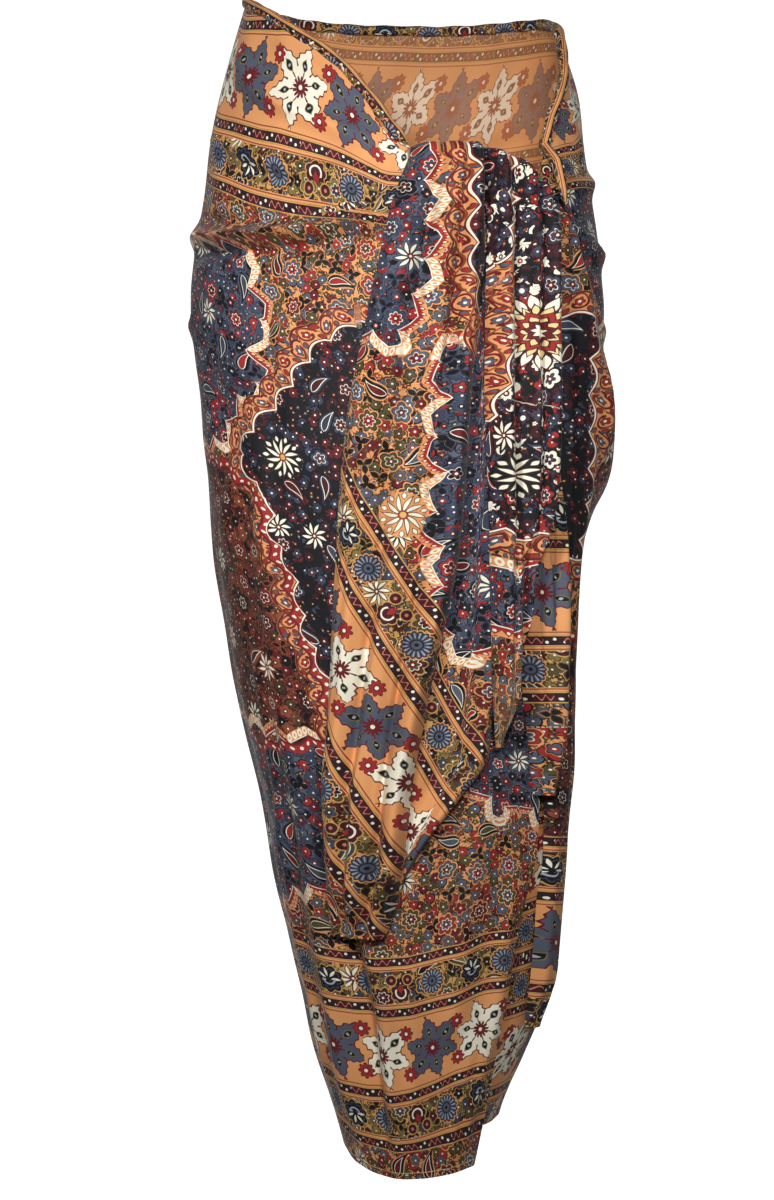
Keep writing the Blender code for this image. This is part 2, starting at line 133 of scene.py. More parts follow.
# ridges of the wound cloth: from degrees and height to degrees and height, bow, rise, width above and below
ridges = [
    (-72, -0.072, -1, -0.072, 0.009, 0.0125, 0.004, 0.0052),
    (-110, -0.066, -78, -0.066, 0.002, 0.002, 0.006, 0.012),
    (-76, -0.058, -4, -0.058, 0.009, -0.005, 0.005, 0.004),
    (-140, -0.035, -90, -0.066, 0.0, 0.0055, 0.011, 0.015),
    (-72, 0.012, -2, -0.04, 0.004, 0.005, 0.007, 0.012),
    (-66, 0.08, -6, -0.008, 0.003, 0.0045, 0.008, 0.011),
    (-56, -0.2, -3, -0.1, 0.014, 0.006, 0.011, 0.019), (-46, -0.83, -40, -0.26, 0.0, 0.0075, 0.016, 0.016),
    (-14, -0.85, -24, -0.52, 0.0, 0.0075, 0.011, 0.014), (8, -0.76, 20, -0.56, 0.0, 0.006, 0.009, 0.015),
    (28, -0.85, 34, -0.64, 0.0, 0.0045, 0.01, 0.01), (53, -0.034, 86, -0.02, 0.004, 0.0042, 0.006, 0.01),
    (48, -0.066, 86, -0.088, 0.003, 0.0048, 0.006, 0.011),
    (46, -0.112, 82, -0.16, 0.0, 0.0042, 0.008, 0.013),
    (70, -0.2, 120, -0.3, 0.03, 0.0065, 0.016, 0.021), (100, 0.07, 158, 0.03, 0.008, 0.005, 0.011, 0.015),
    (-102, 0.06, -160, 0.01, 0.008, 0.005, 0.011, 0.015),
    (150, -0.09, -150, -0.12, 0.02, 0.005, 0.013, 0.019),
    (116, -0.83, 140, -0.16, 0.0, 0.008, 0.016, 0.019), (172, -0.84, 164, -0.24, 0.0, 0.006, 0.016, 0.018),
    (-150, -0.85, -140, -0.2, 0.0, 0.008, 0.017, 0.02), (-106, -0.85, -98, -0.3, 0.0, 0.006, 0.017, 0.019),
    # finer creases, which the solids leave out
    (-76, -0.085, -4, -0.086, 0.009, -0.008, 0.0035, 0.008),
    (-60, -0.222, -8, -0.118, 0.014, -0.003, 0.006, 0.008),
    (-64, 0.0, -10, -0.056, 0.004, -0.003, 0.005, 0.006), (-40, -0.5, -36, -0.13, 0.0, -0.004, 0.011, 0.01),
    (-22, -0.85, -32, -0.62, 0.0, -0.008, 0.01, 0.009),
    (-70, -0.02, -8, -0.052, 0.003, 0.0022, 0.005, 0.007),
    (-52, 0.05, -10, 0.0, 0.0, 0.002, 0.0045, 0.007), (-40, 0.085, -12, 0.035, 0.0, 0.0018, 0.004, 0.006),
    (-74, -0.1, -30, -0.092, 0.004, 0.0022, 0.005, 0.009),
    (-40, -0.125, -5, -0.088, 0.003, 0.0028, 0.005, 0.008),
    (-70, -0.33, -22, -0.14, 0.01, 0.0026, 0.008, 0.011),
    (-62, -0.62, -54, -0.42, 0.0, 0.0022, 0.008, 0.009),
    (-32, -0.7, -30, -0.45, 0.0, 0.002, 0.007, 0.009), (-70, -0.8, -62, -0.56, 0.0, 0.003, 0.009, 0.01),
    (-4, -0.85, -6, -0.69, 0.0, 0.003, 0.007, 0.008), (18, -0.87, 22, -0.76, 0.0, 0.0026, 0.007, 0.007),
    (0, -0.64, 8, -0.56, 0.0, 0.0028, 0.006, 0.007), (56, 0.03, 80, 0.04, 0.002, 0.0022, 0.005, 0.007),
    (50, 0.0, 76, 0.006, 0.002, 0.0022, 0.005, 0.007), (52, -0.09, 76, -0.122, 0.002, 0.0026, 0.005, 0.007),
    (56, -0.15, 88, -0.215, 0.004, 0.003, 0.007, 0.009), (84, -0.78, 80, -0.45, 0.0, 0.0035, 0.009, 0.01),
    (98, -0.82, 104, -0.6, 0.0, 0.0035, 0.009, 0.011), (128, -0.4, 146, -0.1, 0.0, 0.003, 0.01, 0.012),
    (-170, -0.5, -160, -0.13, 0.0, 0.003, 0.01, 0.012), (-124, -0.76, -118, -0.3, 0.0, 0.0032, 0.01, 0.012),
    (104, 0.02, 150, -0.02, 0.006, 0.0026, 0.006, 0.009),
    (-106, 0.01, -158, -0.035, 0.006, 0.0026, 0.006, 0.009),
    (-118, -0.12, -80, -0.15, 0.006, 0.0026, 0.007, 0.01),
]


def girthStep(height):
    return bodySize("right", height) * 0.5 + 0.055


def ridgeRise(ridge, angle, height):
    degA, heightA, degB, heightB, bowed, rise, above, below = ridge
    a, b = math.radians(degA), math.radians(degB)
    step = girthStep(height)
    runX, runZ = float(turnBetween(b, a)) * step, heightB - heightA
    hereX, hereZ = turnBetween(angle, a) * step, height - heightA
    length = np.hypot(runX, runZ)
    share = (hereX * runX + hereZ * runZ) / length ** 2
    side = np.sign(runX)
    aside = (hereZ * runX - hereX * runZ) / length * side + bowed * 4 * share * (1 - share)
    fade = ease((share + 0.12) / 0.24) * ease((1.12 - share) / 0.24)
    width = np.where(aside > 0, above, below)
    return rise * fade * np.exp(-(aside / width) ** 2)


# small unevenness, a sum of seeded soft waves that bend each other
rumple = {"seed": 5, "waves": 14, "rise": 0.0007}


def rumpleRise(angle, height):
    rng = np.random.default_rng(rumple["seed"])
    total = 0.0 * angle
    for _ in range(rumple["waves"]):
        times, up = rng.integers(3, 17), rng.uniform(10, 70)
        phase, bend = rng.uniform(0, 6.28, 2)
        bent = 1.5 * np.sin(3 * angle + 14 * height + bend)
        total = total + np.sin(times * angle + up * height + phase + bent)
    return rumple["rise"] * total / math.sqrt(rumple["waves"])


def wrapRelief(angle, height):
    return sum(ridgeRise(ridge, angle, height) for ridge in ridges)


def wrapOffset(along):
    return -wrap["underlap"] * (1 - ease((np.degrees(along) - 45) / 130))


def pairs(name, at, table=wrap):
    keys, values = zip(*table[name])
    return readCurve(keys, values, at)


def waistHeight(angle):
    return pairs("waist", np.degrees(turnBetween(angle, 0.0)))


# the turned upper edge and how it stands on the wall
edgeRoll = {"radius": 0.0052, "start": 47, "end": 361.5, "tuck": 0.004, "notch": 0.005,
            "tail": [(-0.054, 0.0104), (-0.046, 0.01), (-0.037, 0.0094), (-0.028, 0.0084), (-0.019, 0.0066)]}


def waistSlope(angle):
    little = 0.02
    x0, y0, z0 = bodyPoint(angle - little, waistHeight(angle - little), 0.0)
    x1, y1, z1 = bodyPoint(angle + little, waistHeight(angle + little), 0.0)
    return np.hypot(1.0, (z1 - z0) / np.hypot(x1 - x0, y1 - y0))


def wrapTop(angle):
    underRoll = edgeRoll["radius"] * waistSlope(angle)
    deg = np.degrees(turnBetween(angle, 0.0))
    rolled = 1.0 - ease((deg - 2) / 5) * ease((43 - deg) / 6)
    notch = edgeRoll["notch"] * ease((deg - 40) / 5) * ease((58 - deg) / 8)
    return waistHeight(angle) - np.maximum(underRoll * rolled, edgeRoll["tuck"]) - notch


def newGrid(name, columns, rows):
    # a plain grid from the add menu, whose points the caller then shapes
    bpy.ops.object.select_all(action="DESELECT")
    bpy.ops.mesh.primitive_grid_add(x_subdivisions=columns, y_subdivisions=rows, size=2, location=(0, 0, 0))
    piece = bpy.context.object
    piece.name = name
    piece.data.name = name
    flat = np.empty(len(piece.data.vertices) * 3)
    piece.data.vertices.foreach_get("co", flat)
    flat = flat.reshape(-1, 3)
    return piece, np.clip((flat[:, 0] + 1) / 2, 0, 1), np.clip((flat[:, 1] + 1) / 2, 0, 1)


def setPoints(piece, x, y, z):
    piece.data.vertices.foreach_set("co", np.stack([x, y, z], axis=1).ravel())
    piece.data.update()


zoneNames = ("navy", "navyRun", "blue", "blueRun", "maroon", "maroonRun", "pale", "starRight", "starHigh",
             "starKind", "rich")


def setCloth(piece, along, up, zones=None):
    # where each point lies on the flat cloth, in metres, as a UV map, and the print's zones as attributes
    mesh = piece.data
    while mesh.uv_layers:
        mesh.uv_layers.remove(mesh.uv_layers[0])
    layer = mesh.uv_layers.new(name="cloth")
    corner = np.empty(len(mesh.loops), dtype=np.int32)
    mesh.loops.foreach_get("vertex_index", corner)
    layer.data.foreach_set("uv", np.stack([along[corner], up[corner]], axis=1).ravel().astype(np.float32))
    for name in zoneNames:
        values = np.full(len(mesh.vertices), 0.0 if name.endswith(("pale", "Run", "Kind", "rich")) else 99.0)
        if zones and name in zones:
            values = zones[name]
        mesh.attributes.new(name, "FLOAT", "POINT").data.foreach_set("value", values.astype(np.float32))


def zoneDistance(name, x, y, outlines):
    # millimetres to the nearest of some closed outlines, below 0 inside, and how far along it that is
    signed, run = np.full(x.shape, 99.0), np.zeros(x.shape)
    for outline in outlines:
        near, way, gone = np.full(x.shape, 1e9), np.zeros(x.shape), 0.0
        inside = np.zeros(x.shape, bool)
        for (ax, ay), (bx, by) in zip(outline, outline[1:] + outline[:1]):
            length = math.hypot(bx - ax, by - ay)
            share = np.clip(((x - ax) * (bx - ax) + (y - ay) * (by - ay)) / length ** 2, 0, 1)
            here = np.hypot(x - ax - share * (bx - ax), y - ay - share * (by - ay))
            way = np.where(here < near, gone + share * length, way)
            near = np.minimum(near, here)
            gone += length
            if ay != by:
                inside ^= ((ay > y) != (by > y)) & (x < (bx - ax) * (y - ay) / (by - ay) + ax)
        far = np.where(inside, -near, near) * 1000
        run = np.where(far < signed, way * 1000, run)
        signed = np.minimum(signed, far)
    return {name: signed, name + "Run": run}


def finishSheet(piece, node):
    # the wall on the inner side, printed outside and pale within
    bpy.ops.object.select_all(action="DESELECT")
    bpy.context.view_layer.objects.active = piece
    piece.select_set(True)
    piece.data.materials.clear()
    piece.data.materials.append(cloth)
    piece.data.materials.append(reverse)
    solid = piece.modifiers.new("Wall", "SOLIDIFY")
    solid.thickness = wrap["wall"]
    solid.offset = -1
    solid.material_offset = 1
    bpy.ops.object.modifier_apply(modifier="Wall")
    bpy.ops.object.shade_smooth_by_angle(angle=math.radians(60))
    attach(piece, "root")
    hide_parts(node)
    print(piece.name, "made,", len(piece.data.polygons), "faces")


class Amount:
    # a number worked out at each point of the cloth, so that a pattern reads as a sum
    def __init__(self, socket):
        self.socket = socket

    def __abs__(self):
        return calc("ABSOLUTE", self)

    def __rsub__(self, other):
        return calc("SUBTRACT", other, self)


def addSign(name, kind):
    def work(self, other):
        return calc(kind, self, other)
    setattr(Amount, "__" + name + "__", work)


for signName, signKind in (("add", "ADD"), ("radd", "ADD"), ("sub", "SUBTRACT"), ("mul", "MULTIPLY"),
                           ("rmul", "MULTIPLY"), ("truediv", "DIVIDE"), ("lt", "LESS_THAN"),
                           ("gt", "GREATER_THAN"), ("mod", "FLOORED_MODULO"), ("pow", "POWER")):
    addSign(signName, signKind)

tree = None  # the node tree that is being filled


def join(value, socket):
    if isinstance(value, Amount):
        value = value.socket
    if hasattr(value, "default_value"):
        tree.links.new(value, socket)
    else:
        socket.default_value = value


def addNode(kind, inputs=None, **settings):
    node = tree.nodes.new("ShaderNode" + kind)
    for name, value in settings.items():
        setattr(node, name, value)
    for name, value in (inputs or {}).items():
        join(value, node.inputs[name])
    return node


def calc(kind, *values):
    return Amount(addNode("Math", dict(enumerate(values)), operation=kind).outputs[0])


def least(a, b):
    return calc("MINIMUM", a, b)


def most(a, b):
    return calc("MAXIMUM", a, b)


def choose(first, second, share):
    return first + (second - first) * share


def paint(under, over, mask):
    # over on under where the mask is 1
    under, over = [tint(dye) if isinstance(dye, str) else dye for dye in (under, over)]
    node = addNode("Mix", {"Factor": mask, "A": under, "B": over}, data_type="RGBA", clamp_factor=True)
    return node.outputs["Result"]


dyes = {
    "orange": (226, 156, 100), "plain": (230, 160, 102), "rust": (140, 70, 48), "red": (158, 44, 42),
    "maroon": (104, 28, 33), "wine": (70, 24, 30), "slate": (84, 90, 106), "ink": (48, 54, 74),
    "steel": (60, 68, 88), "night": (21, 20, 28), "black": (18, 16, 20), "pitch": (46, 24, 32),
    "cream": (246, 240, 218), "straw": (206, 158, 92), "olive": (128, 112, 62), "moss": (84, 76, 44),
    "pink": (205, 120, 110), "gold": (214, 178, 96), "brown": (84, 44, 34), "bark": (74, 56, 34),
    "sand": (238, 212, 150), "ash": (168, 176, 188),
}


def tint(name):
    shown = np.array(dyes[name]) / 255
    return tuple(np.where(shown < 0.04045, shown / 12.92, ((shown + 0.055) / 1.055) ** 2.4)) + (1.0,)


# each ground of the print has its own dyes for the motifs on it: fills, then outlines
grounds = [
    ("orange", ["red", "maroon", "slate", "moss", "slate"], ["bark", "black"]),
    ("slate", ["red", "steel", "night", "steel", "maroon"], ["night", "ink"]),
    ("night", ["wine", "steel", "maroon", "ink", "wine"], ["black", "black"]),
    ("brown", ["maroon", "rust", "wine", "black", "bark"], ["rust", "black"]),
    ("straw", ["moss", "night", "wine", "olive", "steel"], ["bark", "bark"]),
    ("night", ["cream", "red", "steel", "wine", "ink"], ["black", "wine"]),
]


def palette(pick, lists):
    # a colour by ground number and chance, both in pick, from 0 to 1
    node = addNode("ValToRGB", {"Fac": pick})
    ramp = node.color_ramp
    ramp.interpolation = "CONSTANT"
    names = [name for names in lists for name in names]
    while len(ramp.elements) < len(names):
        ramp.elements.new(0.5)
    for i, name in enumerate(names):
        ramp.elements[i].position = i / len(names)
        ramp.elements[i].color = tint(name)
    return node.outputs["Color"]


def split(vector):
    node = addNode("SeparateXYZ", {0: vector})
    return Amount(node.outputs["X"]), Amount(node.outputs["Y"])


def distance(x, y):
    return calc("SQRT", x * x + y * y)


def polar(x, y):
    return distance(x, y), calc("ARCTAN2", y, x)


def scatter(place, size, loose, shift):
    # spots about size apart: the distance and turn from the nearest, across it, and two chances of its own
    moved = addNode("VectorMath", {0: place, 1: (shift, shift * 1.7, 0)}, operation="ADD").outputs[0]
    spots = addNode("TexVoronoi", {"Scale": 1 / size, "Randomness": loose, "Vector": moved},
                    voronoi_dimensions="2D").outputs
    away = addNode("VectorMath", {0: moved, 1: spots["Position"]}, operation="SUBTRACT").outputs[0]
    chance = addNode("SeparateColor", {0: spots["Color"]}).outputs
    angle = Amount(chance["Blue"]) * (2 * math.pi)
    turned = addNode("VectorRotate", {"Vector": away, "Angle": angle}, rotation_type="Z_AXIS").outputs[0]
    x, y = split(turned)
    return (*polar(x, y), x, y, Amount(chance["Red"]), Amount(chance["Green"]))


# motifs, each as a distance in millimetres that is below 0 inside
def rosette(r, turn, petals, size, deep):
    return r - size * (1 - deep + deep * abs(calc("COSINE", turn * (petals / 2))))


def rays(r, turn, petals, inner, outer, wide, jagged=0.0):
    part = 2 * math.pi / petals
    bend = (turn + part / 2 + 8 * part) % part - part / 2
    along = (r * calc("COSINE", bend) - inner) / (outer - inner)
    half = calc("SINE", most(least(along, 1.0), 0.0) * math.pi) * wide
    if jagged:
        half = half + calc("PINGPONG", along * (outer - inner), 3.4) * jagged - jagged
    return abs(r * calc("SINE", bend)) - half + most(most(0 - along, along - 1), 0) * 4


def paisley(x, y, size):
    # round below, with a tip that curls over
    up = (y + size * 0.45) / size
    inside = most(least(up, 1.0), 0.0)
    bent = x - size * 0.5 * inside * inside * inside
    half = calc("SQRT", inside) * (1.02 - inside) * size * 0.58
    return abs(bent) - half + most(most(0 - up, up - 1), 0) * 9


def ring(away, wide):
    # a line round an outline
    return abs(away) < wide


# millimetres on the flat cloth; the border is mirrored about its middle, 120 from the edge
border = {"cloth": 1120, "middle": 120, "half": 94, "plain": 36, "floral": 65, "guards": (41, 89),
          "stitch": 6}


def makePrint(name):
    global tree
    mat = bpy.data.materials.new(name)
    mat.use_nodes = True
    tree = mat.node_tree
    shader = tree.nodes["Principled BSDF"]
    laid = addNode("UVMap", uv_map="cloth").outputs[0]
    place = addNode("VectorMath", {0: laid, "Scale": 1000}, operation="SCALE").outputs[0]
    along, up = split(place)
    edge = least(up, border["cloth"] - up)  # the way in from the cloth's nearest long edge
    zone = {key: Amount(addNode("Attribute", attribute_name=key).outputs["Fac"]) for key in zoneNames}
    blueRun, navyRun = zone["blueRun"], zone["navyRun"]

    # the grounds and their scalloped edges
    navy = zone["navy"] - abs(calc("SINE", navyRun * (math.pi / 31))) * 7 + 3
    blue = zone["blue"] - (calc("PINGPONG", blueRun, 16.0) / 16) ** 0.75 * 11 + 5
    maroon = zone["maroon"] - abs(calc("SINE", zone["maroonRun"] * (math.pi / 26))) * 7 + 3
    ground = choose((blue < 0) * 1.0, 3.0, maroon < 0)
    ground = choose(ground, 2.0 + zone["rich"] * 3, navy < 0)
    middle = abs(edge - border["middle"])
    inBorder, inPlain = middle < border["half"], middle < border["plain"]
    across = middle - border["floral"]
    inFloral = abs(across) < 19
    ground = choose(ground, choose(0.0, 4.0, abs(across) < 14.5), inBorder)
    own = palette(ground / 6 + 0.02, [[g[0]] for g in grounds])
    colour = own
    bare = 1 - inPlain  # the plain band keeps only its own flowers
    isDark = abs(ground - 2) < 0.5

    def pickFill(chance):
        return palette((ground + least(chance, 0.999)) / 6, [g[1] for g in grounds])

    def pickLine(chance):
        return palette((ground + least(chance, 0.999)) / 6, [g[2] for g in grounds])

    def coat(where, *layers):
        # dyes one on another, each where both its own mask and the common one are 1
        nonlocal colour
        for dye, mask in layers:
            colour = paint(colour, dye, mask * where)

    # thin stems, along the level lines of soft waves
    wave = addNode("TexNoise", {"Scale": 1 / 24, "Detail": 0, "Vector": place}, noise_dimensions="2D")
    coat(bare, (pickLine(0.2), abs((Amount(wave.outputs["Fac"]) % 0.11) - 0.055) < 0.0065))

    # small buds and leaves
    r, turn, x, y, luck, pick = scatter(place, 6.4, 0.85, 11)
    bud = choose(rosette(r, turn, 5, 2.5, 0.5), abs(x) * 2.2 + abs(y) - 3.3, luck > 0.5)
    coat(bare * ((luck * 5.3 % 1.0) > isDark * 0.25), (pickLine(pick), bud < 0.6),
         (pickFill(luck * 7.3 % 1.0), bud < -0.35), ("gold", r < 0.7))

    # sprays of narrow petals
    r, turn, x, y, luck, pick = scatter(place, 10.5, 0.9, 83)
    spray = rays(r, least(abs(turn), 1.35), 8, 0.4, 6.4, 1.05)
    coat(bare * ((luck * 3.1 % 1.0) > isDark * 0.2), (pickLine(pick), spray < 0.55),
         (pickFill(pick * 2.9 % 1.0), spray < -0.05), ("cream", r < 0.8))

    # flowers and black leaves of middle size
    r, turn, x, y, luck, pick = scatter(place, 15.5, 0.78, 57)
    isLeaf, isFlower = luck > 0.7, luck < 0.7
    shape = choose(rosette(r, turn, 5, 5.0, 0.42), rays(r, turn, 3, 0.0, 8.0, 2.0), isLeaf)
    coat((luck > 0.12 + isDark * 0.1) * bare, (own, shape < 1.2), (pickLine(pick), shape < 0.75),
         (paint(pickFill(pick), "black", isLeaf), shape < -0.25),
         (pickFill(pick * 3.7 % 1.0), (r < 2.1) * isFlower), ("cream", (r < 0.9) * isFlower))

    # the large ones: rayed flowers, cream stars, palmettes and paisleys
    r, turn, x, y, luck, pick = scatter(place, 34, 0.66, 23)
    isStar, isCurl, isFan = luck < 0.1, luck > 0.7, abs(luck - 0.57) < 0.13
    star = rays(r, turn + r * 0.03, 9, 2.4, 12.5, 1.4)
    aster = rosette(r, turn, 7, 9.0, 0.36)
    fan = rosette(r, turn, 5, 9.5, 0.3) + abs(x) * 0.25
    curl = paisley(x, y, 24)
    shape = choose(choose(choose(aster, star, isStar), fan, isFan), curl, isCurl)
    fill = paint(paint(pickFill(pick), "cream", isStar), "black", isCurl * (ground < 1.5))
    core = choose(choose(rosette(r, turn, 7, 5.6, 0.36), curl + 2.2, isCurl), fan + 3.2, isFan)
    coat(bare, (own, shape < 2.2), (pickLine(pick), shape < 0.9), (fill, shape < 0.0),
         (pickFill(pick * 5.1 % 1.0), (core < 0) * (1 - isStar)),
         ("cream", ring(core, 0.36) * (1 - isStar) * (1 - (shape > 0))),
         ("maroon", (r < 2.6) * (1 - isCurl)), ("cream", (r < 1.1) * (1 - isCurl)))

    # lines, loops and points along the edges of the grounds
    outside = 1 - inBorder
    loopX = blueRun % 4.4 - 2.2
    loop = calc("SQRT", (blue - 4.4) * (blue - 4.4) / 9 + loopX * loopX / 2.4)
    comb = blueRun % 64 < 32
    fringe = abs(blue - 4.2) < 4.2
    coat(outside * (navy > 0), ("orange", fringe), ("cream", (abs(loop - 0.85) < 0.33) * fringe * comb),
         ("red", (blue - 4.5 < (abs(loopX) * -2 + 3)) * fringe * (1 - comb)),
         ("cream", (loop < 0.4) * fringe * (1 - comb)), ("cream", ring(blue, 0.45)))
    coil, coilTurn = polar(navyRun % 17 - 8.5, navy - 9)
    sprig = rosette(coil, coilTurn, 5, 3.4, 0.4)
    bud = distance((navyRun + 8.5) % 17 - 8.5, abs(navy - 9) - 5.0)
    coat(ring(navy - 9, 9) * outside, ("orange", 1.0), ("maroon", abs(coil - 6.0 - coilTurn * 0.5) < 0.85),
         ("maroon", sprig < 0.7), (paint("slate", "red", navyRun % 34 < 17), sprig < 0),
         ("cream", coil < 1.1),
         ("bark", bud < 2.7), (paint("red", "slate", navyRun % 51 < 17), bud < 1.9),
         ("rust", abs(navy - 9 - calc("SINE", navyRun * (math.pi / 17)) * 6.5) < 0.7))
    coat(outside, ("maroon", ring(navy, 1.7) + ring(navy - 17, 0.8)), ("cream", ring(navy, 0.75)))
    brim = ring(maroon - 4, 4)
    bead = distance(zone["maroonRun"] % 7 - 3.5, maroon - 4)
    coat(outside * (navy > 0), ("red", brim), ("cream", (bead < 1.5) * brim), ("maroon", ring(maroon, 1.0)))

    # stars and one layered rosette at their places: curved petals with small buds between their ends
    r, turn = polar(zone["starRight"], zone["starHigh"])
    big = zone["starKind"] > 0.5
    swirl = least(rays(r, turn + r * 0.02, 10, 2.5, 17.0, 1.5), rays(r, turn + 0.6, 10, 14.0, 19.5, 1.6))
    coat((r < 24) * (1 - big), (own, r < 20.0), ("bark", swirl < 0.7), ("cream", swirl < 0),
         ("red", r < 4.2),
         ("gold", r < 2.6))
    for petals, inner, outer, wide, dye in ((20, 16, 31, 2.9, "cream"), (20, 12, 22, 2.1, "sand"),
                                            (12, 7, 18, 3.4, "red"), (12, 6, 13.5, 2.2, "sand"),
                                            (9, 2, 10.5, 2.6, "maroon"), (9, 1, 7, 1.5, "cream")):
        layer = rays(r, turn + petals * 0.13, petals, inner, outer, wide)
        coat(big * (r < 34), ("wine", layer < 0.8), (dye, layer < 0))
    coat(big, ("gold", r < 2.4))

    # floral bands: blue daisies between navy palmettes and dark orchids
    r, turn = polar((along - 68 + 38.25) % 76.5 - 38.25, across)
    daisy = rosette(r, turn, 16, 11.8, 0.14)
    ribs = abs(calc("COSINE", turn * 8))
    coat(inFloral, ("orange", daisy < 1.6), ("night", daisy < 0.5),
         ("slate", (daisy < -0.5) * (ribs > 0.35)),
         ("ash", (daisy < -1.4) * (ribs > 0.93) * (r > 6)), ("night", r < 4.8), ("slate", r < 3.9),
         ("night", r < 1.5))
    r, turn = polar((along - 110 + 76.5) % 153 - 76.5, across + 1)
    palmette = rosette(r, turn + 0.2, 9, 13.0, 0.2)
    coat(inFloral, ("straw", palmette < 1.0), ("night", palmette < 0), ("steel", ring(palmette + 3, 0.6)),
         ("cream", (rays(r, turn, 7, 2.0, 10.5, 1.2) < 0) * (across > -3)),
         ("ash", ring(r - 5, 0.8) * (across < -1)))
    x = (along - 33.5 + 76.5) % 153 - 76.5
    wing = distance(abs(x) - 8.5, across - 7)
    fan, fanTurn = polar(x, across + 5)
    orchid = least(wing - 4.6, rosette(fan, fanTurn, 7, 10.0, 0.18) + (across > 1) * 9)
    coat(inFloral, ("straw", orchid < 1.0), ("wine", orchid < 0), ("pink", wing < 1.5),
         ("cream", ring(fan - 5.4, 0.8) * (across < -2)), ("red", abs(x) + abs(across + 1) * 0.6 < 3.2))

    # the plain band: leaf-petalled flowers in white and blue by turns, with red rosettes between
    rise = edge - border["middle"]
    r, turn = polar(along % 56 - 28, rise)
    far = r * (1.1 - 0.13 * calc("COSINE", turn * 2 - 1.4))
    petal = rays(far, turn - 0.7, 6, 1.0, 35.0, 8.4, 0.62)
    vein = rays(far, turn - 0.7, 6, 4.0, 31.0, 0.9)
    eye = rays(far, turn - 0.7, 6, 14.0, 24.5, 2.9)
    coat(inPlain, ("plain", 1.0), ("maroon", petal < 1.3),
         (paint("cream", "slate", along % 112 > 56), petal < -0.1), ("maroon", (vein < 0) * (far < 13)),
         ("olive", eye < 0.6), ("black", eye < -0.3), ("ash", (abs(far - 19.0) < 1.0) * (eye < -1.5)),
         ("maroon", rosette(r, turn, 12, 8.5, 0.45) < 0), ("cream", r < 1.9))
    r, turn = polar((along + 28) % 56 - 28, abs(rise) - 20)
    small = rosette(r, turn, 8, 7.8, 0.3)
    coat(inPlain, ("maroon", small < 0), ("red", (small < -0.9) * (r > 2.9)), ("cream", r < 1.7))

    # guards: narrow maroon stripes with white florets and pink scrolls by turns
    inner, outer = [middle - at for at in border["guards"]]
    strip = least(abs(inner), abs(outer))
    dark = along % 27 < 13
    x, side = along % 5.4 - 2.7, (along % 10.8 > 5.4) * 2.6 - 1.3
    sway = calc("SINE", along * 0.9) * 2
    floret = least(distance(x, inner - side), distance(x, outer - side))
    scroll = least(abs(inner - sway), abs(outer - sway))
    coat(inBorder, ("plain", strip < 8.5), ("rust", abs(strip - 7.2) < 0.5), ("maroon", strip < 4.8),
         ("gold", abs(strip - 4.2) < 0.35), ("pitch", (strip < 3.7) * dark),
         ("wine", (strip < 3.7) * (1 - dark)), ("cream", (floret < 1.25) * dark),
         ("pink", (scroll < 0.6) * (1 - dark)))

    # stitches of the narrow turned hem; the centre fall is paler towards its point, the reverse is paler, and
    # dye is never quite even
    hemLine = abs(edge - border["stitch"])
    coat(1.0, ("sand", (hemLine < 0.4) * (along % 2.6 < 1.7)), ("sand", zone["pale"]))
    colour = paint(colour, "orange", 0.0)
    colour.node.name = "faded"
    cloudy = addNode("TexNoise", {"Scale": 1 / 60, "Vector": place}, noise_dimensions="2D").outputs["Fac"]
    tone = addNode("HueSaturation", {"Value": Amount(cloudy) * 0.3 + 0.85, "Color": colour})

    # fine plain weave: threads both ways, about three to the millimetre
    threads = calc("SINE", along * 16) + calc("SINE", up * 16) - (hemLine < 0.6) * 6
    weave = addNode("Bump", {"Strength": 0.12, "Distance": 0.0002, "Height": threads})
    for key, value in {"Base Color": tone.outputs[0], "Normal": weave.outputs[0], "Roughness": 0.72,
                       "Specular IOR Level": 0.3, "Sheen Weight": 0.08, "Sheen Roughness": 0.4}.items():
        join(value, shader.inputs[key])
    print(name, "made,", len(tree.nodes), "nodes")
    return mat


def wrapAlong(across, height):
    turnEnd = 2 * np.pi + angleAt(pairs("freeEdge", height), height)
    start, end = math.radians(wrap["start"]), math.radians(wrap["nominalEnd"])
    return start + across * (end - start) + (turnEnd - end) * ease((across - 0.75) / 0.25)


def arcTable(height, steps=720):
    # length round the body from the front left, by angle, for each height of a short list
    angle = np.linspace(math.radians(-60), math.radians(440), steps)
    x, y, _ = bodyPoint(angle[None, :], height[:, None], 0.0)
    run = np.hypot(np.diff(x, axis=1), np.diff(y, axis=1))
    run = np.concatenate([np.zeros((len(height), 1)), np.cumsum(run, axis=1)], axis=1)
    return angle, run


def arcLength(along, height):
    levels = np.linspace(0.16, -0.9, 54)
    angle, run = arcTable(levels)
    spot = np.clip((0.16 - height) / (1.06 / 53), 0, 52.999)
    low = spot.astype(int)
    part = spot - low
    column = (along - angle[0]) / (angle[1] - angle[0])
    left = np.clip(column.astype(int), 0, len(angle) - 2)
    frac = column - left
    here = run[low, left] * (1 - frac) + run[low, left + 1] * frac
    nextUp = run[low + 1, left] * (1 - frac) + run[low + 1, left + 1] * frac
    zero = math.radians(320) - angle[0]
    zeroColumn = int(zero / (angle[1] - angle[0]))
    return (here - run[low, zeroColumn]) * (1 - part) + (nextUp - run[low + 1, zeroColumn]) * part


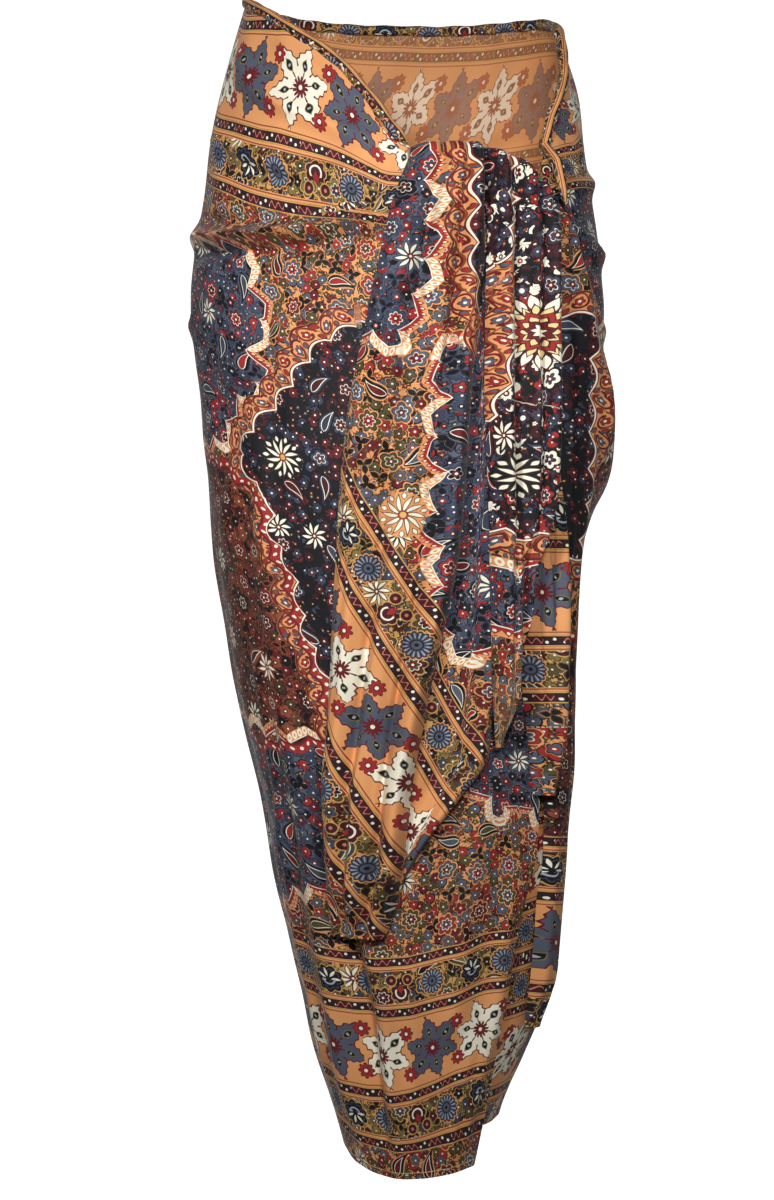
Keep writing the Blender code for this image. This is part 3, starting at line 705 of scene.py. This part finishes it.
# where the grounds change, as degrees round the body and height
wrapZones = {
    "navy": [
        [(351, -0.161), (342, -0.173), (335, -0.192), (326, -0.22), (310, -0.261), (312, -0.283),
         (321, -0.303),
         (321, -0.337), (327, -0.369), (329, -0.417), (336, -0.458), (338, -0.499), (375, -0.503),
         (375, -0.161)],
        [(38, -0.128), (53, -0.122), (61, -0.133), (58, -0.2), (50, -0.212), (38, -0.213)],
        [(180, -0.18), (160, -0.235), (150, -0.33), (165, -0.43), (180, -0.5), (195, -0.43), (210, -0.33),
         (200, -0.235)],
    ],
    "blue": [
        [(262, -0.08), (314, -0.093), (316, -0.104), (323, -0.154), (319, -0.179), (320, -0.209),
         (309, -0.22),
         (299, -0.253), (262, -0.253)],
        [(255, -0.496), (334, -0.51), (328, -0.589), (325, -0.632), (304, -0.639), (270, -0.66),
         (250, -0.621)],
        [(370, -0.44), (430, -0.441), (430, -0.553), (409, -0.578), (397, -0.56), (388, -0.572),
         (380, -0.55),
         (370, -0.524)],
        [(38, -0.043), (98, -0.026), (98, -0.124), (62, -0.158), (53, -0.126), (46, -0.162), (38, -0.162)],
        [(100, -0.56), (150, -0.56), (140, -0.64), (100, -0.66)],
    ],
    "maroon": [
        [(262, -0.262), (298, -0.277), (316, -0.305), (318, -0.339), (323, -0.373), (326, -0.417),
         (332, -0.462),
         (334, -0.504), (296, -0.511), (262, -0.479)],
        [(48, -0.237), (98, -0.237), (98, -0.4), (98, -0.656), (69, -0.651)],
    ],
}
# how the flat cloth lies on the body: heights where its upper inner guard runs, and the way up it at the roll
lay = {
    "hip": [(-20, -0.085), (30, -0.06), (60, -0.035), (90, -0.03), (180, -0.03), (250, -0.01),
            (270, -0.014), (285, -0.026), (303, -0.04), (317, -0.054), (330, -0.064), (345, -0.071),
            (360, -0.078), (430, -0.085)],
    "hipUp": 0.908,
    "top": [(-20, 1.06), (90, 1.064), (180, 1.066), (262, 1.06), (290, 1.063), (303, 1.058), (316, 1.05),
            (327, 1.042), (430, 1.04)],
    "frontRise": 0.022, "underRise": 0.137, "around": 1.15, "low": 0.22, "shift": -0.0235, "lean": 0.02,
}


def clothUp(along, height):
    # the way up the flat cloth, from its hem edge
    deg = np.degrees(along)
    hem = pairs("hem", deg)
    hip = pairs("hip", deg, lay)
    top = np.maximum(waistHeight(along), hip + 0.1)
    low = lay["hipUp"] * (height - hem) / (hip - hem)
    high = lay["hipUp"] + (pairs("top", deg, lay) - lay["hipUp"]) * (height - hip) / (top - hip)
    rising = ease((deg - 345) / 45) * ease((-0.4 - height) / 0.2) * ease((height - hem) / 0.08)
    low = low - lay["frontRise"] * rising
    low = low - lay["underRise"] * ease((135 - deg) / 65) * ease((-0.3 - height) / 0.25)
    low = np.where((low < 0.028) & (deg < 200), 0.056 - low, low)  # the hem is turned up and under there
    return np.where(height < hip, low, high)


def clothAlong(along, height):
    around = lay["around"] + lay["low"] * ease((-0.6 - height) / 0.2)
    behind = lay["shift"] - 0.056 * ease((250 - np.degrees(along)) / 120)
    return 0.9 + behind + around * arcLength(along, height) + lay["lean"] * (height + 0.8)


# stars and rosettes at known places: degrees and height, or across and height on a fall, then the kind
starPlaces = {
    "skirtWrap": [(326, -0.27, 0)],
    "fall_left": [(0.0018, -0.32, 0)],
    "fall_centre": [(0.085, -0.287, 0), (0.101, -0.168, 1)],
}


def starOffsets(along, up, spots):
    # millimetres from the nearest star, both ways, and its kind
    near = np.full(along.shape, 1e9)
    found = {"starRight": 99.0 + 0 * along, "starHigh": 99.0 + 0 * along, "starKind": 0 * along}
    for starAlong, starUp, kind in spots:
        away = np.hypot(along - starAlong, up - starUp)
        for name, value in zip(found, ((along - starAlong) * 1000, (up - starUp) * 1000, kind)):
            found[name] = np.where(away < near, value, found[name])
        near = np.minimum(near, away)
    return found


def makeWrap():
    piece, across, up = newGrid("skirtWrap", wrap["columns"], wrap["rows"])
    start, end = math.radians(wrap["start"]), math.radians(wrap["nominalEnd"])
    along = start + across * (end - start)
    hem = pairs("hem", np.degrees(along))
    top = wrapTop(along)
    height = hem + (top - hem) * pairs("rowSpacing", up)
    along = wrapAlong(across, height)
    shown = ease((np.degrees(along) - 38) / 22)
    relief = wrap["depth"] * wrapRelief(along, height) + rumpleRise(along, height)
    offset = wrapOffset(along) + shown * relief
    setPoints(piece, *bodyPoint(along, height, offset))
    zones = {}
    for name, outlines in wrapZones.items():
        laid = []
        for outline in outlines:
            spots = np.array(outline)
            spotUp = clothUp(np.radians(spots[:, 0]), spots[:, 1])
            laid.append(list(zip(arcLength(np.radians(spots[:, 0]), spots[:, 1]), spotUp)))
        zones.update(zoneDistance(name, arcLength(along, height), clothUp(along, height), laid))
    u, v = clothAlong(along, height), clothUp(along, height)
    spots = [(clothAlong(a, h), clothUp(a, h), kind) for a, h, kind in
             [(np.radians(float(deg)), np.float64(h), kind) for deg, h, kind in starPlaces["skirtWrap"]]]
    zones.update(starOffsets(u, v, spots))
    setCloth(piece, u, v, zones)
    finishSheet(piece, "skirt_wrap")


cloth = makePrint("printedCloth")
reverse = cloth.copy()
reverse.name = "clothReverse"
reverse.node_tree.nodes["faded"].inputs["Factor"].default_value = 0.42
makeWrap()

# the hanging stretches: edges by height, fullness, pleats as place at the top and foot with rise and width
falls = {
    "side_fold": {
        "name": "sideFold", "grid": (40, 180), "lift": 0.0045, "rolls": False, "over": [],
        "height": [-0.062, -0.14, -0.226, -0.3, -0.357, -0.472, -0.62, -0.7, -0.76],
        "left": [0.124, 0.127, 0.13, 0.132, 0.132, 0.124, 0.12, 0.115, 0.108],
        "right": [0.137, 0.163, 0.178, 0.166, 0.153, 0.147, 0.138, 0.128, 0.117],
        "pleats": [(0.45, 0.5, 0.003, 0.01)],
        "creases": [(0.2, 0.25, 0.0018, 0.004), (0.72, 0.75, 0.0016, 0.005)],
        "top": [(0.0, -0.062), (1.0, -0.062)],
        "flat": (0.06, 0.71), "area": 0.036, "held": "hung",
    },
    "knot": {
        "name": "knotBunch", "grid": (48, 30), "lift": 0.008, "rolls": False, "over": [],
        "height": [-0.024, -0.04, -0.062, -0.084],
        "left": [0.02, 0.016, 0.015, 0.018],
        "right": [0.11, 0.112, 0.113, 0.11],
        "pleats": [(0.3, 0.3, 0.002, 0.01), (0.66, 0.6, 0.002, 0.01)],
        "creases": [],
        "top": [(0.0, -0.026), (0.4, -0.026), (0.7, -0.036), (0.85, -0.047), (1.0, -0.062)],
        "flat": (0.1, 0.07), "area": 0.0058, "held": "gathered",
    },
    "fall_right": {
        "name": "fallRight", "grid": (40, 150), "lift": 0.006, "rolls": False, "over": ["side_fold", "knot"],
        "height": [-0.078, -0.14, -0.226, -0.291, -0.357, -0.423, -0.472, -0.521, -0.556],
        "left": [0.098, 0.1, 0.1, 0.101, 0.098, 0.099, 0.102, 0.108, 0.112],
        "right": [0.121, 0.125, 0.1275, 0.1315, 0.133, 0.1323, 0.129, 0.124, 0.1205],
        "pleats": [(0.62, 0.7, 0.004, 0.007)],
        "creases": [(0.3, 0.35, 0.0015, 0.003)],
        "top": [(0.0, -0.078), (1.0, -0.078)],
        "flat": (0.05, 0.49), "area": 0.0217, "held": "hung",
    },
    "fall_middle": {
        "name": "fallMiddle", "grid": (70, 170), "lift": 0.005, "rolls": False,
        "over": ["fall_right", "knot"],
        "height": [-0.078, -0.226, -0.357, -0.464, -0.505, -0.526, -0.554, -0.594, -0.628],
        "left": [0.03, 0.03, 0.018, 0.0, -0.005, -0.008, -0.012, -0.014, -0.016],
        "right": [0.082, 0.084, 0.083, 0.08, 0.0745, 0.0715, 0.051, 0.021, 0.002],
        "pleats": [(0.8, 0.88, 0.0055, 0.009), (0.52, 0.55, -0.003, 0.012)],
        "creases": [(0.66, 0.72, -0.0018, 0.003), (0.9, 0.95, 0.0012, 0.002)],
        "top": [(0.0, -0.078), (1.0, -0.078)],
        "flat": (0.1, 0.56), "area": 0.043, "held": "hung",
    },
    "fall_left": {
        "name": "fallLeft", "grid": (92, 230), "lift": 0.0115, "rolls": True,
        "over": ["fall_middle", "knot"],
        "height": [-0.008, -0.02, -0.053, -0.086, -0.123, -0.168, -0.226, -0.291, -0.357, -0.415, -0.464,
                   -0.509, -0.546, -0.587, -0.632, -0.674],
        "left": [0.012, 0.007, -0.005, -0.013, -0.021, -0.031, -0.043, -0.05, -0.054, -0.057, -0.059,
                 -0.06, -0.06, -0.057, -0.057, -0.053],
        "right": [0.0635, 0.0635, 0.0635, 0.0635, 0.0635, 0.062, 0.057, 0.053, 0.046, 0.0345, 0.024, 0.016,
                  0.01, 0.006, 0.0, -0.011],
        "pleats": [(0.26, 0.14, 0.0046, 0.008), (0.6, 0.47, 0.0046, 0.01), (0.9, 0.87, 0.0078, 0.009)],
        "creases": [(0.1, 0.06, 0.0018, 0.003), (0.44, 0.31, -0.0036, 0.0032),
                    (0.76, 0.66, -0.0048, 0.0032), (0.97, 0.95, 0.001, 0.002), (0.52, 0.4, 0.0012, 0.002)],
        "top": [(0.0, -0.014), (0.2, -0.011), (0.8, -0.01), (1.0, -0.011)],
        "flat": (0.18, 0.68), "area": 0.093, "held": "gathered",
    },
    "fall_centre": {
        "name": "fallCentre", "grid": (70, 190), "lift": 0.0095, "rolls": True,
        "over": ["fall_right", "fall_middle", "knot"],
        "height": [-0.01, -0.05, -0.086, -0.168, -0.226, -0.291, -0.33, -0.365, -0.406, -0.431, -0.456,
                   -0.472, -0.513],
        "left": [0.0655, 0.065, 0.065, 0.0645, 0.065, 0.066, 0.0665, 0.0665, 0.067, 0.0675, 0.068, 0.069,
                 0.0725],
        "right": [0.118, 0.119, 0.1205, 0.121, 0.1215, 0.12, 0.113, 0.1025, 0.099, 0.0945, 0.089, 0.085,
                  0.0785],
        "pleats": [(0.15, 0.22, 0.005, 0.007), (0.5, 0.56, 0.0062, 0.008), (0.86, 0.9, 0.005, 0.007)],
        "creases": [(0.33, 0.4, -0.0044, 0.003), (0.7, 0.75, -0.0044, 0.003), (0.08, 0.1, -0.0014, 0.002),
                    (0.58, 0.66, 0.0014, 0.002)],
        "top": [(0.0, -0.012), (0.35, -0.019), (0.6, -0.0285), (0.8, -0.038), (1.0, -0.049)],
        "flat": (0.11, 0.53), "area": 0.0505, "held": "gathered",
    },
}
stack = {"step": 0.00168, "reachX": 5, "reachZ": 5, "rollRows": 26, "rollBack": 0.0022, "rollRise": 0.009,
         "depth": 1.8}

# the front as a map of how far out the cloth lies, 1 mm by 2 mm, one layer on another
mapX = np.linspace(-0.2, 0.2, 401)
mapZ = np.linspace(0.06, -0.9, 481)
gridX, gridZ = np.meshgrid(mapX, mapZ)


def readMap(layer, x, z):
    column = np.clip((x - mapX[0]) / (mapX[1] - mapX[0]), 0, len(mapX) - 1.001)
    row = np.clip((z - mapZ[0]) / (mapZ[1] - mapZ[0]), 0, len(mapZ) - 1.001)
    c, r = column.astype(int), row.astype(int)
    fc, fr = column - c, row - r
    upper = layer[r, c] * (1 - fc) + layer[r, c + 1] * fc
    lower = layer[r + 1, c] * (1 - fc) + layer[r + 1, c + 1] * fc
    return upper * (1 - fr) + lower * fr


def slide(layer, rows, columns):
    return np.roll(np.roll(layer, rows, axis=0), columns, axis=1)


def drapeOver(layer):
    # the highest of the neighbourhood, smoothed, so that a sheet bridges small steps
    high = layer
    for shift in range(1, stack["reachX"] + 1):
        high = np.maximum(high, np.maximum(slide(layer, 0, shift), slide(layer, 0, -shift)))
    low = high
    for shift in range(1, stack["reachZ"] + 1):
        high = np.maximum(high, np.maximum(slide(low, shift, 0), slide(low, -shift, 0)))
    for _ in range(3):
        around = slide(high, 0, 1) + slide(high, 0, -1) + slide(high, 1, 0) + slide(high, -1, 0)
        high = np.maximum(high, around / 4)
    return high


def fallWidth(fall, z):
    left = readCurve(fall["height"], fall["left"], z)
    return left, readCurve(fall["height"], fall["right"], z) - left


def fallBody(fall, across, z):
    foot, top = fall["height"][-1], fall["height"][0]
    down = np.clip((top - z) / (top - foot), 0, 1)
    _, width = fallWidth(fall, z)
    rise = fall["lift"] + 0.0 * across
    for atTop, atFoot, high, wide in fall["pleats"] + fall["creases"]:
        aside = (across - atTop - (atFoot - atTop) * down) * width / wide
        rise = rise + stack["depth"] * high * np.exp(-aside ** 2)
    ends = ease((z - foot) / 0.05)
    if not fall["rolls"]:
        ends = ends * ease((top - z) / 0.03)
    rounded = 1 - np.abs(2 * np.clip(across, 0, 1) - 1) ** 7
    return rise * rounded * (0.35 + 0.65 * ends)


frontAngle = angleAt(gridX, gridZ)
pastEdge = gridX > pairs("freeEdge", gridZ)
wrapLayer = np.where(pastEdge, wrapOffset(frontAngle), 0.0)
wrapLayer = wrapLayer + wrap["depth"] * wrapRelief(frontAngle, gridZ) + rumpleRise(frontAngle, gridZ)
covers = {}


def fallLayers(key):
    # what a stretch lies on, and its own outer height where it is
    fall = falls[key]
    under = wrapLayer
    for name in fall["over"]:
        under = np.maximum(under, covers[name])
    base = drapeOver(under)
    left, width = fallWidth(fall, gridZ)
    across = (gridX - left) / width
    topLine = readCurve(*zip(*fall["top"]), np.clip(across, 0, 1))
    inside = (across >= 0) & (across <= 1) & (gridZ <= topLine) & (gridZ >= fall["height"][-1])
    covers[key] = np.where(inside, base + stack["step"] + fallBody(fall, across, gridZ), -1.0)
    return base


def flankRun(x, offset, columns):
    # the cloth that goes up and down the flanks of the folds, from the left edge on
    step = np.diff(x.reshape(-1, columns + 1), axis=1)
    rise = np.diff(offset.reshape(-1, columns + 1), axis=1)
    more = np.cumsum(np.hypot(rise, step) - np.abs(step), axis=1)
    return np.concatenate([0 * more[:, :1], more], axis=1).ravel()


def makeFall(key):
    fall = falls[key]
    base = fallLayers(key)
    columns, rows = fall["grid"]
    piece, across, up = newGrid(fall["name"], columns, rows)
    across = 0.5 - 0.5 * np.cos(np.pi * across)  # closer columns at the rounded edges
    top = readCurve(*zip(*fall["top"]), across)
    foot = fall["height"][-1]
    rolled = stack["rollRows"] / rows if fall["rolls"] else 0.0
    share = np.clip(up / (1 - rolled), 0, 1)
    z = foot + (top - (stack["rollRise"] if fall["rolls"] else 0.0) - foot) * share
    turn = np.clip((up - 1 + rolled) / max(rolled, 1e-6), 0, 1) * np.pi if fall["rolls"] else 0.0 * up
    left, width = fallWidth(fall, z)
    x = left + width * across
    offset = readMap(base, x, z) + stack["step"] + fallBody(fall, across, z)
    middle = (offset + stack["rollBack"] + stack["step"]) / 2
    offset = np.where(turn > 0, middle + (offset - middle) * np.cos(turn), offset)
    height = z + stack["rollRise"] * np.sin(turn)
    setPoints(piece, *bodyPoint(angleAt(x, z), height, offset))
    laid = fallPrint[key]
    d, s = laid["place"](x, z + 0.02 * turn)
    shownRun = s
    if laid.get("flanks"):
        s = s + flankRun(x, offset, columns)
    down = (fall["height"][0] - z) / (fall["height"][0] - foot)
    for atTop, atFoot, hidden in laid.get("tucks", []):
        s = s + hidden * ease((across - atTop - (atFoot - atTop) * down) * width / 0.004 + 0.5)
    zones = {}
    for name in ("navy", "blue", "maroon"):
        if name in laid:
            zones.update(zoneDistance(name, x, z, laid[name]))
    if key in starPlaces:
        spots = [(*laid["place"](px, pz)[::-1], kind) for px, pz, kind in starPlaces[key]]
        zones.update(starOffsets(shownRun, d, spots))
    zones["rich"] = laid.get("rich", 0.0) + 0 * z
    if "pale" in laid:
        zones["pale"] = laid["pale"]["amount"] * ease((laid["pale"]["below"] - z) / 0.05)
    setCloth(piece, s, d, zones)
    finishSheet(piece, key)


# how the print lies on each stretch: the way in from the cloth's end and the way along it, and its grounds
endBorder = {"across": (0.87, 0.492), "stretch": 1.09}


def slanted(shift, push, bow):
    def place(x, z):
        ax, az = endBorder["across"]
        d = 0.209 + (ax * x + az * z + shift) * endBorder["stretch"] - bow * ((x + 0.009) ** 2 - 0.0015)
        return d, (az * x - ax * z) * 1.05 + push
    return place


def hanging(height, push):
    def place(x, z):
        return height + z + 0 * x, 1.08 * x + push + 0 * z
    return place


def level(height, push, turned=0.0):
    def place(x, z):
        run = arcLength(2 * np.pi + angleAt(x, z), z + 0 * x) - 0.15
        return height + z + turned * run, run + push - turned * z
    return place


fallPrint = {
    "side_fold": {
        "place": level(0.8, 0.3, 0.1),
        "navy": [[(0.1, -0.15), (0.158, -0.15), (0.156, -0.3), (0.146, -0.352), (0.1, -0.352)]],
        "maroon": [[(0.1, -0.428), (0.2, -0.43), (0.2, -0.8), (0.1, -0.8)]],
    },
    "knot": {"place": level(0.6, 0.7, 0.4), "rich": 1.0},
    "fall_right": {"place": level(0.5034, 0.0097), "rich": 1.0},
    "fall_middle": {
        "place": slanted(0.1985, 0.05, 0.0), "tucks": [(0.66, 0.72, 0.022)],
        "blue": [[(0.03, -0.1), (0.074, -0.1), (0.074, -0.415), (0.058, -0.44), (0.041, -0.425),
                  (0.03, -0.39)]],
    },
    "fall_left": {
        "place": slanted(0.1755, -0.0223, 2.5),
        "blue": [
            [(-0.013, -0.015), (0.02, -0.014), (0.023, -0.107), (0.012, -0.141), (-0.001, -0.178),
             (-0.017, -0.174), (-0.04, -0.166)],
            [(0.043, -0.18), (0.075, -0.165), (0.075, -0.407), (0.016, -0.465), (0.024, -0.423),
             (0.023, -0.39), (0.029, -0.357), (0.02, -0.323), (0.031, -0.29), (0.023, -0.257),
             (0.033, -0.224), (0.026, -0.191)]],
        "navy": [[(0.055, 0.01), (0.1, 0.01), (0.09, -0.097), (0.08, -0.156), (0.066, -0.172),
                  (0.058, -0.14), (0.051, -0.098)]],
    },
    "fall_centre": {
        "place": hanging(0.85, 2.03), "rich": 1.0, "flanks": True,
        "tucks": [(0.33, 0.4, 0.026), (0.7, 0.75, 0.02)],
        "navy": [
            [(0.05, 0.01), (0.079, 0.01), (0.078, -0.08), (0.071, -0.115), (0.05, -0.12)],
            [(0.084, 0.01), (0.14, 0.01), (0.14, -0.33), (0.096, -0.338), (0.05, -0.33), (0.05, -0.245),
             (0.07, -0.238), (0.078, -0.2), (0.084, -0.14), (0.082, -0.09)]],
        "blue": [[(0.05, -0.367), (0.13, -0.366), (0.13, -0.411), (0.05, -0.411)]],
        "pale": {"below": -0.44, "amount": 0.1},
    },
}

for key in falls:
    makeFall(key)


def makeEdgeRoll():
    # a twisted roll: a tube whose section is two strands wound round each other
    roll = {"around": 20, "along": 420, "twist": 95.0, "strand": 0.16}
    piece, along, around = newGrid("waistRoll", roll["along"], roll["around"])
    angle = np.radians(edgeRoll["start"] + (edgeRoll["end"] - edgeRoll["start"]) * np.linspace(0, 1, 400))
    height = waistHeight(angle) - edgeRoll["radius"] * waistSlope(angle)
    px, py, pz = bodyPoint(angle, height, wrapOffset(angle) - 0.0006)
    tail = np.array(edgeRoll["tail"])
    tx, ty, tz = bodyPoint(np.full(len(tail), math.radians(edgeRoll["start"])), tail[:, 0], tail[:, 1])
    path = np.stack([np.concatenate([tx, px]), np.concatenate([ty, py]), np.concatenate([tz, pz])], axis=1)
    run = np.concatenate([[0], np.cumsum(np.linalg.norm(np.diff(path, axis=0), axis=1))])
    at = along * run[-1]
    centre = np.stack([np.interp(at, run, path[:, i]) for i in range(3)], axis=1)
    little = 0.004
    ahead = np.stack([np.interp(at + little, run, path[:, i]) for i in range(3)], axis=1)
    behind = np.stack([np.interp(at - little, run, path[:, i]) for i in range(3)], axis=1)
    way = ahead - behind
    way /= np.linalg.norm(way, axis=1)[:, None]
    out = centre * np.array([1, 1, 0])
    out -= way * np.sum(out * way, axis=1)[:, None]
    out /= np.linalg.norm(out, axis=1)[:, None]
    side = np.cross(way, out)
    turn = around * 2 * np.pi
    thick = edgeRoll["radius"] * (1 - roll["strand"] * np.abs(np.sin(turn + roll["twist"] * at)) ** 1.5)
    ends = np.minimum(along, 1 - along) * run[-1]
    thick = thick * (0.35 + 0.65 * ease(ends / 0.012))
    spot = centre + out * (np.cos(turn) * thick)[:, None] + side * (np.sin(turn) * thick)[:, None]
    setPoints(piece, *spot.T)
    setCloth(piece, at, 0.033 * around + 0.925)
    bpy.ops.object.mode_set(mode="EDIT")
    bpy.ops.mesh.select_all(action="SELECT")
    bpy.ops.mesh.remove_doubles(threshold=0.00001)
    bpy.ops.mesh.select_all(action="DESELECT")
    bpy.ops.mesh.select_non_manifold(extend=False)
    bpy.ops.mesh.edge_face_add()
    bpy.ops.mesh.select_all(action="SELECT")
    bpy.ops.mesh.normals_make_consistent(inside=False)
    bpy.ops.object.mode_set(mode="OBJECT")
    piece.data.materials.clear()
    piece.data.materials.append(cloth)
    bpy.ops.object.shade_smooth_by_angle(angle=math.radians(60))
    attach(piece, "root")
    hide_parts("waist_roll")
    print(piece.name, "made,", len(piece.data.polygons), "faces")


makeEdgeRoll()

# a pale floor that rises behind as a backdrop, and soft studio lamps
studio = {"floor": -1.1, "half": 6.0, "back": 3.5, "bend": 1.2, "glow": 0.95}


def makeFloor():
    global tree
    piece, across, up = newGrid("studioFloor", 2, 240)
    run = up * (2 * studio["half"])
    y = -studio["half"] + run
    bent = np.clip((y - studio["back"]) / studio["bend"], 0, None)
    z = studio["floor"] + np.where(bent > 0, studio["bend"] * bent ** 2, 0.0)
    setPoints(piece, (across - 0.5) * 2 * studio["half"], np.minimum(y, studio["back"] + studio["bend"]), z)
    mat = bpy.data.materials.new("paleFloor")
    mat.use_nodes = True
    tree = mat.node_tree
    shader = tree.nodes["Principled BSDF"]
    # the far floor and the backdrop glow softly, so that they stay white behind the cloth
    aside, back = split(addNode("TexCoord").outputs["Object"])
    reach = []
    for value, near, far, first, last in ((back, 0.5, 0.64, 0.0, studio["glow"]),
                                          (abs(aside), 1.3, 2.6, 1.0, 0.0)):
        reach.append(addNode("MapRange", {"Value": value, "From Min": near, "From Max": far, "To Min": first,
                                          "To Max": last}))
    reach[0].interpolation_type = "SMOOTHSTEP"
    shine = Amount(reach[0].outputs[0]) * Amount(reach[1].outputs[0])
    for name, value in {"Base Color": (0.6, 0.6, 0.6, 1), "Roughness": 0.9, "Emission Strength": shine,
                        "Emission Color": (1, 1, 1, 1)}.items():
        join(value, shader.inputs[name])
    piece.data.materials.clear()
    piece.data.materials.append(mat)
    bpy.ops.object.shade_smooth()


makeFloor()

lamps = [
    # name, place, width, power, spread
    ("keyLamp", (-0.38, -1.2, 0.15), 0.2, 2.95, 1.75),
    ("frontLamp", (0.15, -1.2, 0.05), 0.22, 2.3, 1.75),
    ("backLeft", (-1.6, 1.9, 1.0), 1.4, 8, math.pi),
    ("backRight", (1.6, 1.7, 1.0), 1.4, 8, math.pi),
]


def addLamp(name, place, width, power, spread):
    bpy.ops.object.light_add(type="AREA", location=place)
    lamp = bpy.context.object
    lamp.name = name
    lamp.data.shape = "DISK"
    lamp.data.size = width
    lamp.data.energy = power
    lamp.data.spread = spread
    aim = np.array([0.0, 0.0, -0.3]) - np.array(place)
    direction = aim / np.linalg.norm(aim)
    lamp.rotation_euler = (math.acos(-direction[2]), 0, math.atan2(-direction[0], direction[1]))


for lamp in lamps:
    addLamp(*lamp)

world = bpy.data.worlds.new("studioAir")
world.use_nodes = True
world.node_tree.nodes["Background"].inputs["Color"].default_value = (1, 1, 1, 1)
world.node_tree.nodes["Background"].inputs["Strength"].default_value = 0.06
bpy.context.scene.world = world
bpy.context.scene.view_settings.view_transform = "Standard"
print("studio lit")
